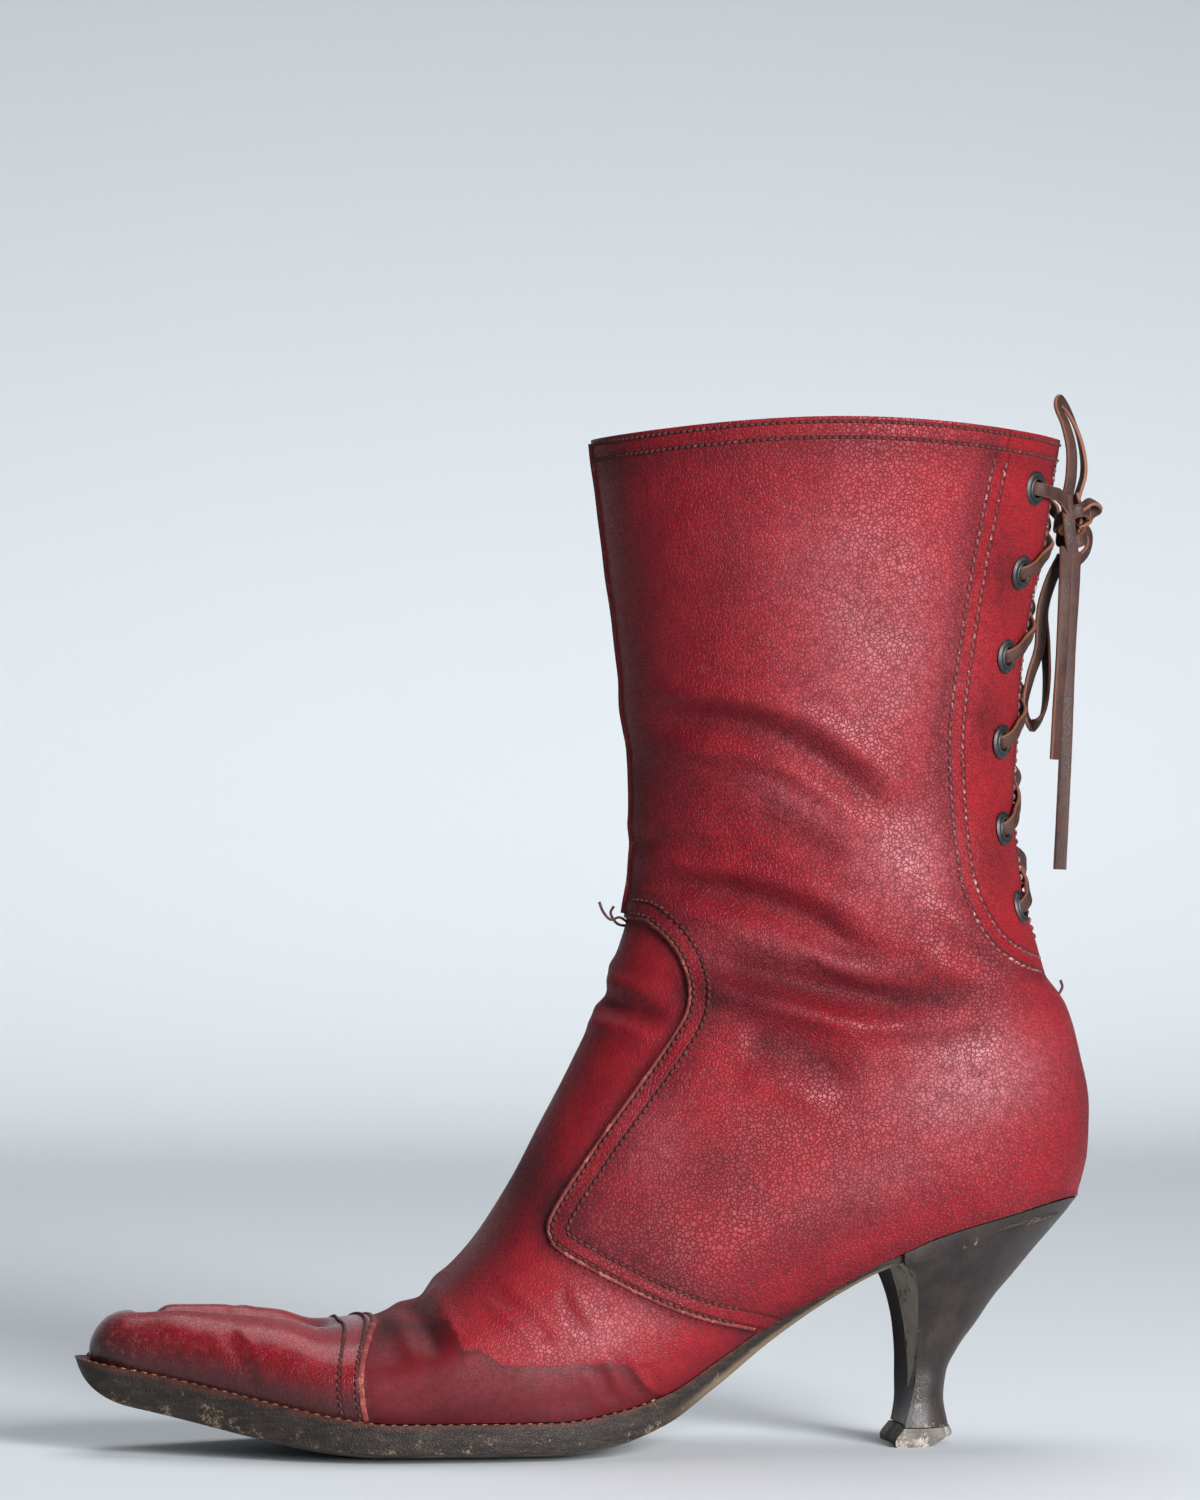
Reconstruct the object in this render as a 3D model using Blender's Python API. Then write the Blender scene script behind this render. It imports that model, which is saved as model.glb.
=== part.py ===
"""Heeled calf boot with a long toe and a laced back: upper, sole, heel, eyelets and lace.

A left boot, standing on z = 0. The toe points to -X, the outer (lateral) side of the foot to -Y.
All sizes are in millimetres, and make_object turns them into metres.
"""

import math
from collections import namedtuple

import bmesh
import bpy
import numpy as np
from mathutils import Matrix, Vector

MM = 0.001

# Driving sizes
HEEL_HEIGHT = 67.0  # floor to the upper's edge at the back
SHAFT_HEIGHT = 272.0  # floor to the collar, at its front and back
COLLAR_RISE = 4.5  # how much higher the collar is at its sides
WALL = 1.8  # leather and lining
OVERLAY = 1.0  # how far the toe cap and the quarters stand over the vamp
GAP = 0.3  # between pieces that touch

# Toe
TOE_TIP = -132.6  # front of the upper
TOE_TIP_HALF_WIDTH = 4.0
TOE_NOSE = 14.0  # length of its rounded front
TOE_NOSE_POWER = 2.4
TOE_END = -72.0  # where the toe meets the ball of the foot

# Heel seat of the upper: a half circle, on a slope
SEAT_RADIUS = 27.0
SEAT_BACK = 133.3
SEAT_CENTRE = SEAT_BACK - SEAT_RADIUS
SEAT_X = 80.0  # where the slope begins
SEAT_SLOPE = 0.28

# Outsole
SOLE_MARGIN = 2.6  # outsole beyond the upper, round the forefoot
SOLE_TOE_MARGIN = 5.0
SOLE_NOSE = 14.0  # length over which the toe of the sole thins out

# Insole
INSOLE_THICKNESS = 1.6
INSOLE_CLEARANCE = 0.8

# Eyelets and lace
EYELET_FLANGE_RADIUS = 4.7
EYELET_BARREL_RADIUS = 3.1
EYELET_HOLE_RADIUS = 2.4
EYELET_FLANGE = 0.9  # its thickness
EYELET_SIDES = 10
EYELET_EDGE_DISTANCE = 14.0  # from the edge of the back opening, along the wall
EYELET_HEIGHTS = (258.5, 236.0, 213.5, 190.5, 167.0, 145.5)
LACE_WIDTH = 3.6
LACE_THICKNESS = 1.4

# Grid of the upper
COLUMNS = 10  # quads from the sole's edge to the top line, on each side
CROWDING = 0.45  # how much closer they are at both ends of a section
BACK_ROWS = 15

Outline = namedtuple("Outline", "x lateral medial")
OUTLINE = [
    Outline(-137.0, 5.6, 15.8),
    Outline(-124.0, 9.8, 18.8),
    Outline(-112.0, 15.8, 23.4),
    Outline(-100.0, 22.4, 28.4),
    Outline(-86.0, 29.8, 34.2),
    Outline(-72.0, 36.2, 39.4),
    Outline(-60.0, 39.4, 42.7),
    Outline(-46.0, 40.8, 42.8),
    Outline(-30.0, 41.0, 41.8),
    Outline(-14.0, 39.8, 39.2),
    Outline(2.0, 36.6, 34.4),
    Outline(18.0, 31.6, 27.8),
    Outline(34.0, 26.6, 21.8),
    Outline(50.0, 24.2, 20.0),
    Outline(66.0, 24.8, 22.2),
    Outline(84.0, 26.4, 25.6),
    Outline(SEAT_CENTRE, SEAT_RADIUS, SEAT_RADIUS),
]

# The toe box has sunk in on top: a hollow between two ridges.
Hollow = namedtuple("Hollow", "x depth half_width")
HOLLOW = [
    Hollow(-121.0, 0.0, 7.0),
    Hollow(-112.0, 4.2, 11.5),
    Hollow(-100.0, 6.6, 14.0),
    Hollow(-86.0, 7.4, 17.5),
    Hollow(-76.0, 6.0, 18.5),
    Hollow(-66.0, 0.0, 16.0),
]

# Sections of the foot: each runs from the sole up to the top line.
Foot = namedtuple("Foot", "base_x top_x top_z ridge lateral medial side_at top_n base_n")
FOOT_SECTIONS = [
    Foot(-137.0, -137.0, 35.6, 5.0, 7.4, 17.4, 0.30, 2.6, 2.4),
    Foot(-122.0, -122.0, 37.2, 4.6, 12.0, 20.6, 0.30, 2.6, 2.4),
    Foot(-110.0, -110.0, 38.6, 4.2, 18.2, 25.2, 0.30, 2.6, 2.4),
    Foot(-96.0, -96.0, 38.0, 3.8, 26.0, 31.2, 0.30, 2.6, 2.4),
    Foot(-82.0, -82.0, 36.4, 3.4, 33.2, 36.8, 0.30, 2.6, 2.4),
    Foot(-72.0, -72.0, 33.8, 3.0, 37.6, 40.6, 0.30, 2.5, 2.4),
    Foot(-60.0, -59.0, 34.8, 2.6, 40.9, 44.0, 0.30, 2.4, 2.4),
    Foot(-48.0, -47.0, 40.0, 2.0, 42.2, 44.2, 0.30, 2.3, 2.4),
    Foot(-36.0, -37.5, 48.0, 1.2, 42.8, 43.8, 0.30, 2.2, 2.4),
    Foot(-23.0, -28.5, 58.5, 0.5, 42.4, 42.4, 0.28, 2.05, 2.4),
    Foot(-8.0, -20.0, 72.8, 0.0, 41.0, 40.2, 0.27, 1.95, 2.4),
    Foot(9.0, -11.5, 89.2, 0.0, 39.0, 38.0, 0.27, 1.9, 2.4),
    Foot(27.0, -3.6, 104.6, 0.0, 37.0, 36.0, 0.28, 1.85, 2.4),
    Foot(45.0, 3.2, 119.4, 0.0, 35.4, 34.8, 0.30, 1.85, 2.4),
    Foot(63.0, 8.2, 133.0, 0.0, 34.2, 33.8, 0.33, 1.9, 2.4),
    Foot(81.0, 11.4, 144.0, 0.0, 33.4, 33.2, 0.35, 1.9, 2.4),
    Foot(98.0, 12.8, 152.5, 0.0, 33.2, 33.0, 0.37, 1.95, 2.4),
    Foot(114.0, 13.6, 159.5, 0.0, 33.4, 33.2, 0.38, 2.0, 2.4),
    Foot(126.0, 13.8, 165.0, 0.0, 33.6, 33.4, 0.39, 2.0, 2.4),
    Foot(SEAT_BACK, 13.6, 169.5, 0.0, 33.8, 33.6, 0.40, 2.0, 2.4),
]

# Sections of the shaft: each runs from the back line to the front line.
Shaft = namedtuple("Shaft", "base_x base_z half_gap top_x top_z lateral medial side_at top_n base_n")
SHAFT_SECTIONS = [
    Shaft(135.8, 77.0, 0.0, 13.4, 175.0, 34.3, 34.1, 0.42, 2.0, 2.4),
    Shaft(136.1, 89.5, 0.0, 13.3, 181.5, 35.0, 34.8, 0.44, 2.0, 2.4),
    Shaft(133.8, 104.5, 0.0, 12.9, 188.0, 35.8, 35.6, 0.46, 2.0, 2.4),
    Shaft(129.8, 118.5, 0.0, 11.8, 194.5, 36.5, 36.3, 0.48, 2.0, 2.4),
    Shaft(123.8, 127.0, 0.0, 11.0, 200.0, 37.1, 36.9, 0.49, 2.0, 2.4),
    Shaft(122.2, 134.0, 0.6, 10.7, 206.0, 37.7, 37.5, 0.50, 2.0, 2.1),
    Shaft(118.6, 145.5, 4.0, 9.9, 213.0, 38.5, 38.3, 0.50, 2.0, 2.1),
    Shaft(115.9, 160.0, 7.0, 8.9, 221.5, 39.4, 39.2, 0.50, 2.0, 2.1),
    Shaft(114.5, 175.0, 9.0, 7.9, 230.0, 40.4, 40.2, 0.50, 2.0, 2.1),
    Shaft(115.2, 190.5, 10.5, 6.9, 238.0, 41.5, 41.3, 0.50, 2.0, 2.1),
    Shaft(116.0, 207.0, 11.5, 5.9, 246.0, 42.7, 42.5, 0.50, 2.0, 2.1),
    Shaft(118.2, 224.0, 12.5, 4.8, 254.0, 44.0, 43.8, 0.50, 2.0, 2.1),
    Shaft(122.0, 241.0, 13.0, 3.8, 261.0, 45.0, 44.8, 0.50, 2.0, 2.1),
    Shaft(124.2, 257.0, 13.3, 3.0, 267.0, 45.8, 45.6, 0.50, 2.0, 2.1),
    Shaft(126.5, SHAFT_HEIGHT, 13.5, 2.5, SHAFT_HEIGHT, 46.4, 46.4, 0.50, 2.0, 2.1),
]
OPENING_SECTION = 4.6  # the section where the back opening begins
OVERLAY_OPENING_SECTION = 4.0  # and where the quarters part for it
COLLAR_RISE_SECTION = 9.0  # the section where the collar's rise begins

# Sole along its length: its top at the upper's edge, its edge thickness, how far its
# rounded tread reaches below the edge, and how much its edge is bevelled.
Sole = namedtuple("Sole", "x top edge tread bevel margin")
SOLE = [
    Sole(-137.0, 25.4, 9.4, 0.0, 0.6, SOLE_MARGIN),
    Sole(-120.0, 22.6, 10.0, 0.2, 0.8, SOLE_MARGIN),
    Sole(-103.0, 19.2, 10.2, 0.8, 0.8, SOLE_MARGIN),
    Sole(-86.0, 15.4, 9.6, 1.8, 0.8, SOLE_MARGIN),
    Sole(-70.0, 12.2, 8.5, 2.8, 0.8, SOLE_MARGIN),
    Sole(-56.0, 10.6, 7.6, 3.0, 0.8, SOLE_MARGIN),
    Sole(-34.0, 10.6, 7.6, 3.0, 0.8, SOLE_MARGIN),
    Sole(-12.0, 10.6, 7.6, 3.0, 0.8, 2.4),
    Sole(4.0, 12.8, 8.2, 2.6, 1.2, 1.6),
    Sole(18.0, 17.0, 8.0, 1.8, 2.4, 0.6),
    Sole(32.0, 25.2, 7.2, 1.4, 4.0, 0.0),
    Sole(48.0, 35.6, 5.4, 1.0, 4.6, -0.4),
    Sole(64.0, 44.6, 3.4, 0.6, 3.4, -0.8),
    Sole(SEAT_X, HEEL_HEIGHT - SEAT_SLOPE * (SEAT_BACK - SEAT_X), 2.2, 0.0, 0.6, -1.0),
    Sole(SEAT_BACK, HEEL_HEIGHT, 2.2, 0.0, 0.6, -1.0),
]
TREAD_FLAT = 0.45  # share of the half width over which the tread is flat
TREAD_POWER = 2.2  # how suddenly it then rounds up to its edge

# Heel: level sections, from the top lift to the seat. The front is a hollow breast.
Level = namedtuple("Level", "back_z back_x front_x half_width hollow")
LIFT_TOP = 5.0
LIFT_LEVELS = [
    Level(0.0, 99.4, 82.6, 12.8, 0.8),
    Level(1.2, 99.8, 82.4, 13.0, 0.8),
    Level(LIFT_TOP, 99.0, 84.8, 12.4, 0.9),
]
HEEL_LEVELS = [
    Level(LIFT_TOP + GAP, 98.7, 85.2, 12.2, 1.0),
    Level(12.9, 97.4, 86.6, 11.2, 2.2),
    Level(19.7, 98.2, 87.1, 11.2, 3.0),
    Level(26.4, 101.5, 87.3, 12.2, 3.6),
    Level(33.2, 106.5, 87.2, 13.8, 4.2),
    Level(39.9, 111.1, 86.7, 15.8, 4.6),
    Level(46.7, 116.1, 85.9, 18.3, 5.0),
    Level(53.4, 120.5, 84.9, 21.2, 5.0),
    Level(59.4, 125.2, 83.9, 24.2, 4.5),
    Level(63.9, 132.2, 82.6, 26.8, 4.0),
]
HEEL_SIDE_POWER = 3.0
HEEL_BACK_POWER = 2.2
HEEL_SIDE_POINTS = 9
HEEL_BREAST_POINTS = 6

# Flap of sole leather on the heel's breast
FLAP_TOP_HALF_WIDTH = 15.0
FLAP_LENGTH = 36.0
FLAP_THICKNESS = 1.0

# Seams in the side view, as (x, z) points of smooth curves.
QUARTER_SEAM = [
    (-4.0, 143.5),
    (9.0, 143.2),
    (16.5, 140.8),
    (22.8, 132.5),
    (24.6, 121.5),
    (19.0, 110.0),
    (0.0, 83.8),
    (-12.4, 65.6),
    (-13.6, 59.0),
    (-9.0, 54.2),
    (12.5, 42.8),
    (27.0, 37.2),
    (41.5, 33.6),
]
CAP_SEAM = [(-52.0, 44.0), (-55.5, 37.0), (-60.5, 32.6), (-63.8, 26.0), (-64.2, 19.0), (-62.4, 9.0)]
SEAM_CLEARANCE = 0.6  # the overlays stop this far above the sole and below the collar
FRONT_SEAM_HALF = 1.2
FRONT_SEAM_PROUD = 1.4
BACK_SEAM_HALF = 1.6
BACK_SEAM_PROUD = 0.7
SEAM_ROOT = 1.7  # how deep the raised seams sit in the wall
QUARTERS_APART_HALF = 0.8  # the quarters stop short of the middle, under the raised seams

# Lace paths, as (x, y, z) points chosen by hand.
KNOT_CENTRE = (133.2, 0.0, 249.0)
KNOT_SIZE = (11.0, 13.0, 15.0)
LOOP_UP = [
    (131.4, -3.0, 257.0),
    (132.2, -4.2, 262.5),
    (132.2, -4.6, 270.0),
    (130.6, -4.0, 277.0),
    (128.8, -2.4, 281.6),
    (130.4, 0.6, 283.2),
    (133.6, 2.4, 279.0),
    (136.4, 3.2, 271.6),
    (137.2, 3.2, 264.0),
    (135.2, 2.6, 257.0),
]
LOOP_DOWN = [
    (131.0, 2.0, 240.8),
    (128.2, 3.4, 233.0),
    (126.8, 4.0, 222.0),
    (127.6, 3.6, 211.0),
    (127.4, 2.4, 201.0),
    (125.2, 0.0, 194.6),
    (122.8, -2.6, 198.6),
    (123.0, -3.4, 208.0),
    (124.2, -3.4, 220.0),
    (126.8, -2.6, 232.0),
    (130.4, -1.4, 240.8),
]
END_LONG = [
    (135.0, -4.4, 242.2),
    (134.0, -7.0, 232.0),
    (132.0, -8.0, 214.0),
    (130.4, -8.2, 190.0),
    (129.0, -8.0, 168.0),
    (128.4, -7.8, 155.8),
]
END_SHORT = [
    (131.0, -5.2, 243.2),
    (129.6, -9.6, 231.0),
    (128.2, -11.6, 214.0),
    (127.0, -12.0, 199.0),
    (126.2, -12.0, 185.6),
]

LEATHER_RED = (0.33, 0.018, 0.026, 1.0)
LINING_TAN = (0.42, 0.24, 0.14, 1.0)
SOLE_BROWN = (0.055, 0.042, 0.034, 1.0)
HEEL_BROWN = (0.05, 0.038, 0.035, 1.0)
FLAP_GREY = (0.33, 0.28, 0.22, 1.0)
LIFT_GREY = (0.22, 0.2, 0.18, 1.0)
EYELET_STEEL = (0.09, 0.1, 0.11, 1.0)
LACE_BROWN = (0.12, 0.05, 0.032, 1.0)


# Curves and tables


def smooth(x, xs, ys):
    """Monotone cubic through the points (xs, ys), read at x."""
    x, xs, ys = (np.asarray(a, float) for a in (x, xs, ys))
    step = np.diff(xs)
    slope = np.diff(ys) / step
    inner = np.zeros(len(xs))
    inner[0], inner[-1] = slope[0], slope[-1]
    rising = slope[:-1] * slope[1:] > 0
    mean = 2 * slope[:-1] * slope[1:] / np.where(rising, slope[:-1] + slope[1:], 1.0)
    inner[1:-1] = np.where(rising, mean, 0.0)
    i = np.clip(np.searchsorted(xs, x) - 1, 0, len(step) - 1)
    t = np.clip((x - xs[i]) / step[i], 0.0, 1.0)
    return (
        (1 + 2 * t) * (1 - t) ** 2 * ys[i]
        + t * (1 - t) ** 2 * step[i] * inner[i]
        + t**2 * (3 - 2 * t) * ys[i + 1]
        + t**2 * (t - 1) * step[i] * inner[i + 1]
    )


def column(table, name, at, key=0):
    """One named column of a table, read smoothly at a value of its key column."""
    return smooth(at, [row[key] for row in table], [getattr(row, name) for row in table])


def step01(x):
    """0 below 0, 1 above 1, smooth between."""
    t = np.clip(x, 0.0, 1.0)
    return t * t * (3 - 2 * t)


def curve_through(points, count):
    """Evenly spaced points on a smooth (Catmull-Rom) curve through the given ones."""
    p = np.asarray(points, float)
    p = np.vstack([2 * p[0] - p[1], p, 2 * p[-1] - p[-2]])
    t = np.linspace(0, 1, 24, endpoint=False)[:, None]
    parts = []
    for a, b, c, d in zip(p[:-3], p[1:-2], p[2:-1], p[3:]):
        parts.append(
            0.5 * (2 * b + (c - a) * t + (2 * a - 5 * b + 4 * c - d) * t**2 + (3 * b - a - 3 * c + d) * t**3)
        )
    return evenly(np.vstack(parts + [p[-2:-1]]), count)


def evenly(points, count, crowding=0.0):
    """The same line with count points at equal distances, or closer together towards its ends."""
    along = np.concatenate([[0], np.cumsum(np.linalg.norm(np.diff(points, axis=0), axis=1))])
    share = np.linspace(0, 1, count)
    at = along[-1] * (share - crowding * np.sin(2 * math.pi * share) / (2 * math.pi))
    return np.stack([np.interp(at, along, points[:, k]) for k in range(points.shape[1])], axis=1)


def sole_top(x):
    return column(SOLE, "top", x)


def foot_width(x, side, inset):
    """Half width of the upper where it meets the sole, before its front is rounded."""
    if x <= SEAT_CENTRE:
        return float(column(OUTLINE, side, x)) - inset
    return math.sqrt(max((SEAT_RADIUS - inset) ** 2 - (x - SEAT_CENTRE) ** 2, 0.0))


def moved_station(x, inset):
    """A station of the sole for a form this much smaller: its toe and its seat draw in."""
    if x < TOE_END:
        return TOE_END + (x - TOE_END) * (TOE_END - TOE_TIP - inset) / (TOE_END - TOE_TIP)
    if x > SEAT_CENTRE:
        return SEAT_CENTRE + (x - SEAT_CENTRE) * (SEAT_RADIUS - inset) / SEAT_RADIUS
    return x


def nose(distance, length, power):
    """Rounded end: 0 at the tip, 1 from the given length on."""
    t = np.clip(1 - distance / length, 0.0, 1.0)
    return (1 - t**power) ** (1 / power)


# Upper: half sections


def half_arch(height, side, foot, side_at, top_n, base_n, points=81):
    """(height, distance from the ridge) from the foot of the wall up to the ridge.

    Below its widest place the arch is part of one superellipse, above it a quarter of another.
    """
    low = -math.acos(min(max(foot, 0.0) / side, 0.999) ** (base_n / 2))
    angle = np.linspace(low, math.pi / 2, points)
    up = np.abs(np.sin(angle))
    out = np.clip(np.cos(angle), 0.0, 1.0)
    below = side_at * height * (1 - (up / math.sin(-low)) ** (2 / base_n))
    above = height * (side_at + (1 - side_at) * up ** (2 / top_n))
    along = np.where(angle < 0, below, above)
    across = side * np.where(angle < 0, out ** (2 / base_n), out ** (2 / top_n))
    return along, across


def placed_half(base, top, ridge, sign, arch):
    """The half arch in space: base and top are (x, z) on the middle plane."""
    along, across = arch
    axis = np.subtract(top, base) / np.linalg.norm(np.subtract(top, base))
    return np.stack(
        [base[0] + axis[0] * along, ridge + sign * across, base[1] + axis[1] * along], axis=1
    )


SIDES = {"lateral": -1.0, "medial": 1.0}


def foot_half(base_x, side, inset):
    """Half section whose foot is on the sole, at base_x."""
    sign = SIDES[side]
    value = {name: float(column(FOOT_SECTIONS, name, base_x)) for name in Foot._fields[1:]}
    x = moved_station(base_x, inset)
    rounding = max(float(nose(x - TOE_TIP - inset, TOE_NOSE, TOE_NOSE_POWER)), 0.04)
    base = np.array([x, float(sole_top(x)) + GAP])
    forward = min(base_x - TOE_END, 0.0) - min(x - TOE_END, 0.0)
    top = np.array([value["top_x"] - forward, base[1] + (value["top_z"] - base[1]) * rounding])
    top = top - (top - base) / np.linalg.norm(top - base) * min(inset, 0.9 * (top[1] - base[1]))
    from_ridge = sign * -value["ridge"]
    tip = TOE_TIP_HALF_WIDTH - inset
    arch = half_arch(
        np.linalg.norm(top - base),
        max((value[side] + from_ridge) * rounding - inset, tip + 0.5),
        max((foot_width(x, side, inset) + from_ridge + inset) * rounding - inset, tip if x < 0 else 0.0),
        value["side_at"],
        value["top_n"],
        value["base_n"],
    )
    points = placed_half(base, top, value["ridge"], sign, arch)
    points[:, 2] -= hollow_depth(points[:, 0], points[:, 1] - value["ridge"])
    return points


def hollow_depth(x, across):
    """How far the toe box has sunk in at a point of it."""
    x = np.clip(x, HOLLOW[0].x, HOLLOW[-1].x)
    share = np.clip(np.abs(across) / column(HOLLOW, "half_width", x), 0.0, 1.0)
    return column(HOLLOW, "depth", x) * (1 - share**2) ** 2


def shaft_half(station, side, inset, opening=OPENING_SECTION, opening_margin=0.0):
    """Half section whose foot is on the back line. Stations count along SHAFT_SECTIONS."""
    sign = SIDES[side]
    count = np.arange(len(SHAFT_SECTIONS))
    value = {
        name: float(smooth(station, count, [getattr(s, name) for s in SHAFT_SECTIONS]))
        for name in Shaft._fields
    }
    base = np.array([value["base_x"], value["base_z"]])
    top = np.array([value["top_x"], value["top_z"]])
    axis = (top - base) / np.linalg.norm(top - base)
    base, top = base + axis * inset, top - axis * inset
    gap = value["half_gap"] + opening_margin if station > opening else 0.0
    height = np.linalg.norm(top - base)
    arch = half_arch(height, value[side] - inset, gap, value["side_at"], value["top_n"], value["base_n"])
    points = placed_half(base, top, 0.0, sign, arch)
    last = len(SHAFT_SECTIONS) - 1
    rise = COLLAR_RISE * step01((station - COLLAR_RISE_SECTION) / (last - COLLAR_RISE_SECTION))
    points[:, 2] += rise * np.sin(math.pi * arch[0] / height)
    return points


def foot_stations():
    """Where the foot's sections stand on the sole, from the toe to the back of the seat."""
    front = TOE_TIP + TOE_NOSE * (1 - np.cos(np.linspace(0, math.pi / 2, 5)))
    toe = np.linspace(TOE_TIP + TOE_NOSE, TOE_END, 8)[1:]
    waist = np.linspace(TOE_END, SEAT_CENTRE, 17)[1:-1]
    seat = SEAT_CENTRE + SEAT_RADIUS * np.sin(np.linspace(0, math.pi / 2, 7))
    return np.concatenate([front, toe, waist, seat])


def shaft_stations():
    return np.linspace(0, len(SHAFT_SECTIONS) - 1, BACK_ROWS)


def upper_half(side, inset, opening, opening_margin):
    """Grid of points over one side of the upper: rows from the toe to the collar."""
    halves = [foot_half(x, side, inset) for x in foot_stations()]
    halves += [shaft_half(station, side, inset, opening, opening_margin) for station in shaft_stations()]
    return np.array([evenly(half, COLUMNS + 1, CROWDING) for half in halves])


# Meshes


def shell_mesh(outer, inner, seam_rows):
    """(points, faces) of the body between two sheets, each a (lateral, medial) pair of grids.

    The halves share their last column, and on seam_rows their first one too.
    """
    rows, columns = outer[0].shape[:2]
    lateral = np.arange(rows * columns).reshape(rows, columns)
    medial = lateral + rows * columns
    medial[:, -1] = lateral[:, -1]
    medial[seam_rows, 0] = lateral[seam_rows, 0]

    def quads(index):
        corners = (index[:-1, :-1], index[1:, :-1], index[1:, 1:], index[:-1, 1:])
        return np.stack([c.ravel() for c in corners], axis=1)

    turned = [0, 3, 2, 1]  # keeps the corner where a quad is split
    front = np.vstack([quads(lateral), quads(medial)[:, turned]])
    edges = np.vstack([np.stack([front[:, k], front[:, (k + 1) % 4]], axis=1) for k in range(4)])
    known = {tuple(e) for e in edges.tolist()}
    rim = np.array([e for e in edges.tolist() if (e[1], e[0]) not in known])
    shift = 2 * rows * columns
    strip = np.stack([rim[:, 1], rim[:, 0], rim[:, 0] + shift, rim[:, 1] + shift], axis=1)
    faces = np.vstack([front, front[:, turned] + shift, strip])
    points = np.vstack([half.reshape(-1, 3) for half in (*outer, *inner)])
    used, faces = np.unique(faces, return_inverse=True)
    return points[used], faces.reshape(-1, 4)


def make_object(name, points, faces, collection, material=None):
    mesh = bpy.data.meshes.new(name)
    mesh.from_pydata((np.asarray(points) * MM).tolist(), [], [list(map(int, f)) for f in faces])
    mesh.validate()
    work = bmesh.new()
    work.from_mesh(mesh)
    bmesh.ops.remove_doubles(work, verts=work.verts, dist=1e-6)
    bmesh.ops.recalc_face_normals(work, faces=work.faces)
    work.to_mesh(mesh)
    work.free()
    if material:
        mesh.materials.append(material)
    mesh.shade_smooth()
    mesh.set_sharp_from_angle(angle=math.radians(40))
    made = bpy.data.objects.new(name, mesh)
    collection.objects.link(made)
    return made


def loop_mesh(loops):
    """(points, faces) of a solid through a stack of closed loops, with flat ends."""
    loops = np.asarray(loops)
    levels, around = loops.shape[:2]
    index = np.arange(levels * around).reshape(levels, around)
    turned = np.roll(index, -1, axis=1)
    sides = [index[:-1], turned[:-1], turned[1:], index[1:]]
    faces = np.stack([s.ravel() for s in sides], axis=1).tolist()
    faces.append(index[0][::-1].tolist())
    faces.append(index[-1].tolist())
    return loops.reshape(-1, 3), faces


def plate(name, outline, half, collection):
    """A flat (x, z) outline with a thickness of twice half across the boot: a cutter or a rib."""
    outline = np.asarray(outline)
    levels = [
        np.stack([outline[:, 0], np.full(len(outline), y), outline[:, 1]], axis=1) for y in (-half, half)
    ]
    points, faces = loop_mesh(levels)
    return helper(make_object(name, points, faces, collection))


def helper(item):
    item.hide_render = True
    item.display_type = "WIRE"
    return item


def boolean(item, operation, other):
    item.modifiers.new("triangles", "TRIANGULATE").quad_method = "FIXED"
    modifier = item.modifiers.new(f"{operation.lower()} {other.name}", "BOOLEAN")
    modifier.operation = operation
    modifier.solver = "EXACT"
    modifier.object = other


def ribbon(path, facing):
    """(points, faces) of a flat lace along a path. facing is the way its broad side looks."""
    path, facing = np.asarray(path, float), np.asarray(facing, float)
    along = np.gradient(path, axis=0)
    along /= np.linalg.norm(along, axis=1)[:, None]
    across = np.cross(along, facing)
    across /= np.linalg.norm(across, axis=1)[:, None]
    normal = np.cross(across, along)
    corners = ((1, 1), (-1, 1), (-1, -1), (1, -1))
    loops = [
        path + across * a * LACE_WIDTH / 2 + normal * b * LACE_THICKNESS / 2 for a, b in corners
    ]
    return loop_mesh(np.stack(loops, axis=1))


# Pieces


def upper_shell(outset, inset, opening=OPENING_SECTION, opening_margin=0.0):
    """The upper's wall between two copies of its form."""
    outer = [upper_half(side, -outset, opening, opening_margin) for side in SIDES]
    inner = [upper_half(side, inset, opening, opening_margin) for side in SIDES]
    seat = len(foot_stations()) - 1
    seam_rows = [seat] + [seat + 1 + i for i, s in enumerate(shaft_stations()) if s <= opening]
    return shell_mesh(outer, inner, seam_rows)


def front_line():
    """The front of the quarters in the side view, from their seam up to just below the collar."""
    rows = [row for row in FOOT_SECTIONS if row.top_z > QUARTER_SEAM[1][1]] + SHAFT_SECTIONS
    line = curve_through([(row.top_x - OVERLAY, row.top_z) for row in rows], 120)
    return evenly(line[line[:, 1] < SHAFT_HEIGHT - SEAM_CLEARANCE], 24)


def back_line():
    """The back of the quarters in the side view, from the seat to the back opening."""
    rows = SHAFT_SECTIONS[: math.ceil(OVERLAY_OPENING_SECTION) + 1]
    return curve_through([(row.base_x + 0.8 * OVERLAY, row.base_z) for row in rows], 9)


def quarter_outline():
    """Side view of the quarters: behind their seam, above the sole, below the collar."""
    seam = curve_through(QUARTER_SEAM, 44)
    x = np.linspace(QUARTER_SEAM[-1][0] + 1.0, 160.0, 16)
    floor = np.stack([x, sole_top(x) + GAP + SEAM_CLEARANCE], axis=1)
    far = [(160.0, 300.0), (-10.0, 300.0)]
    return np.vstack([seam, floor, far])


def collar_cutter(collection):
    """What is left of the overlay's top edge, trimmed below the collar."""
    x = np.linspace(-20.0, 160.0, 20)
    middle, half = 64.0, 62.0
    rise = COLLAR_RISE * np.clip(np.cos((x - middle) / half * math.pi / 2), 0.0, 1.0)
    line = np.stack([x, SHAFT_HEIGHT - SEAM_CLEARANCE + rise], axis=1)
    return plate("collar_trim", np.vstack([line, [(160.0, 300.0), (-20.0, 300.0)]]), 80.0, collection)


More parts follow.
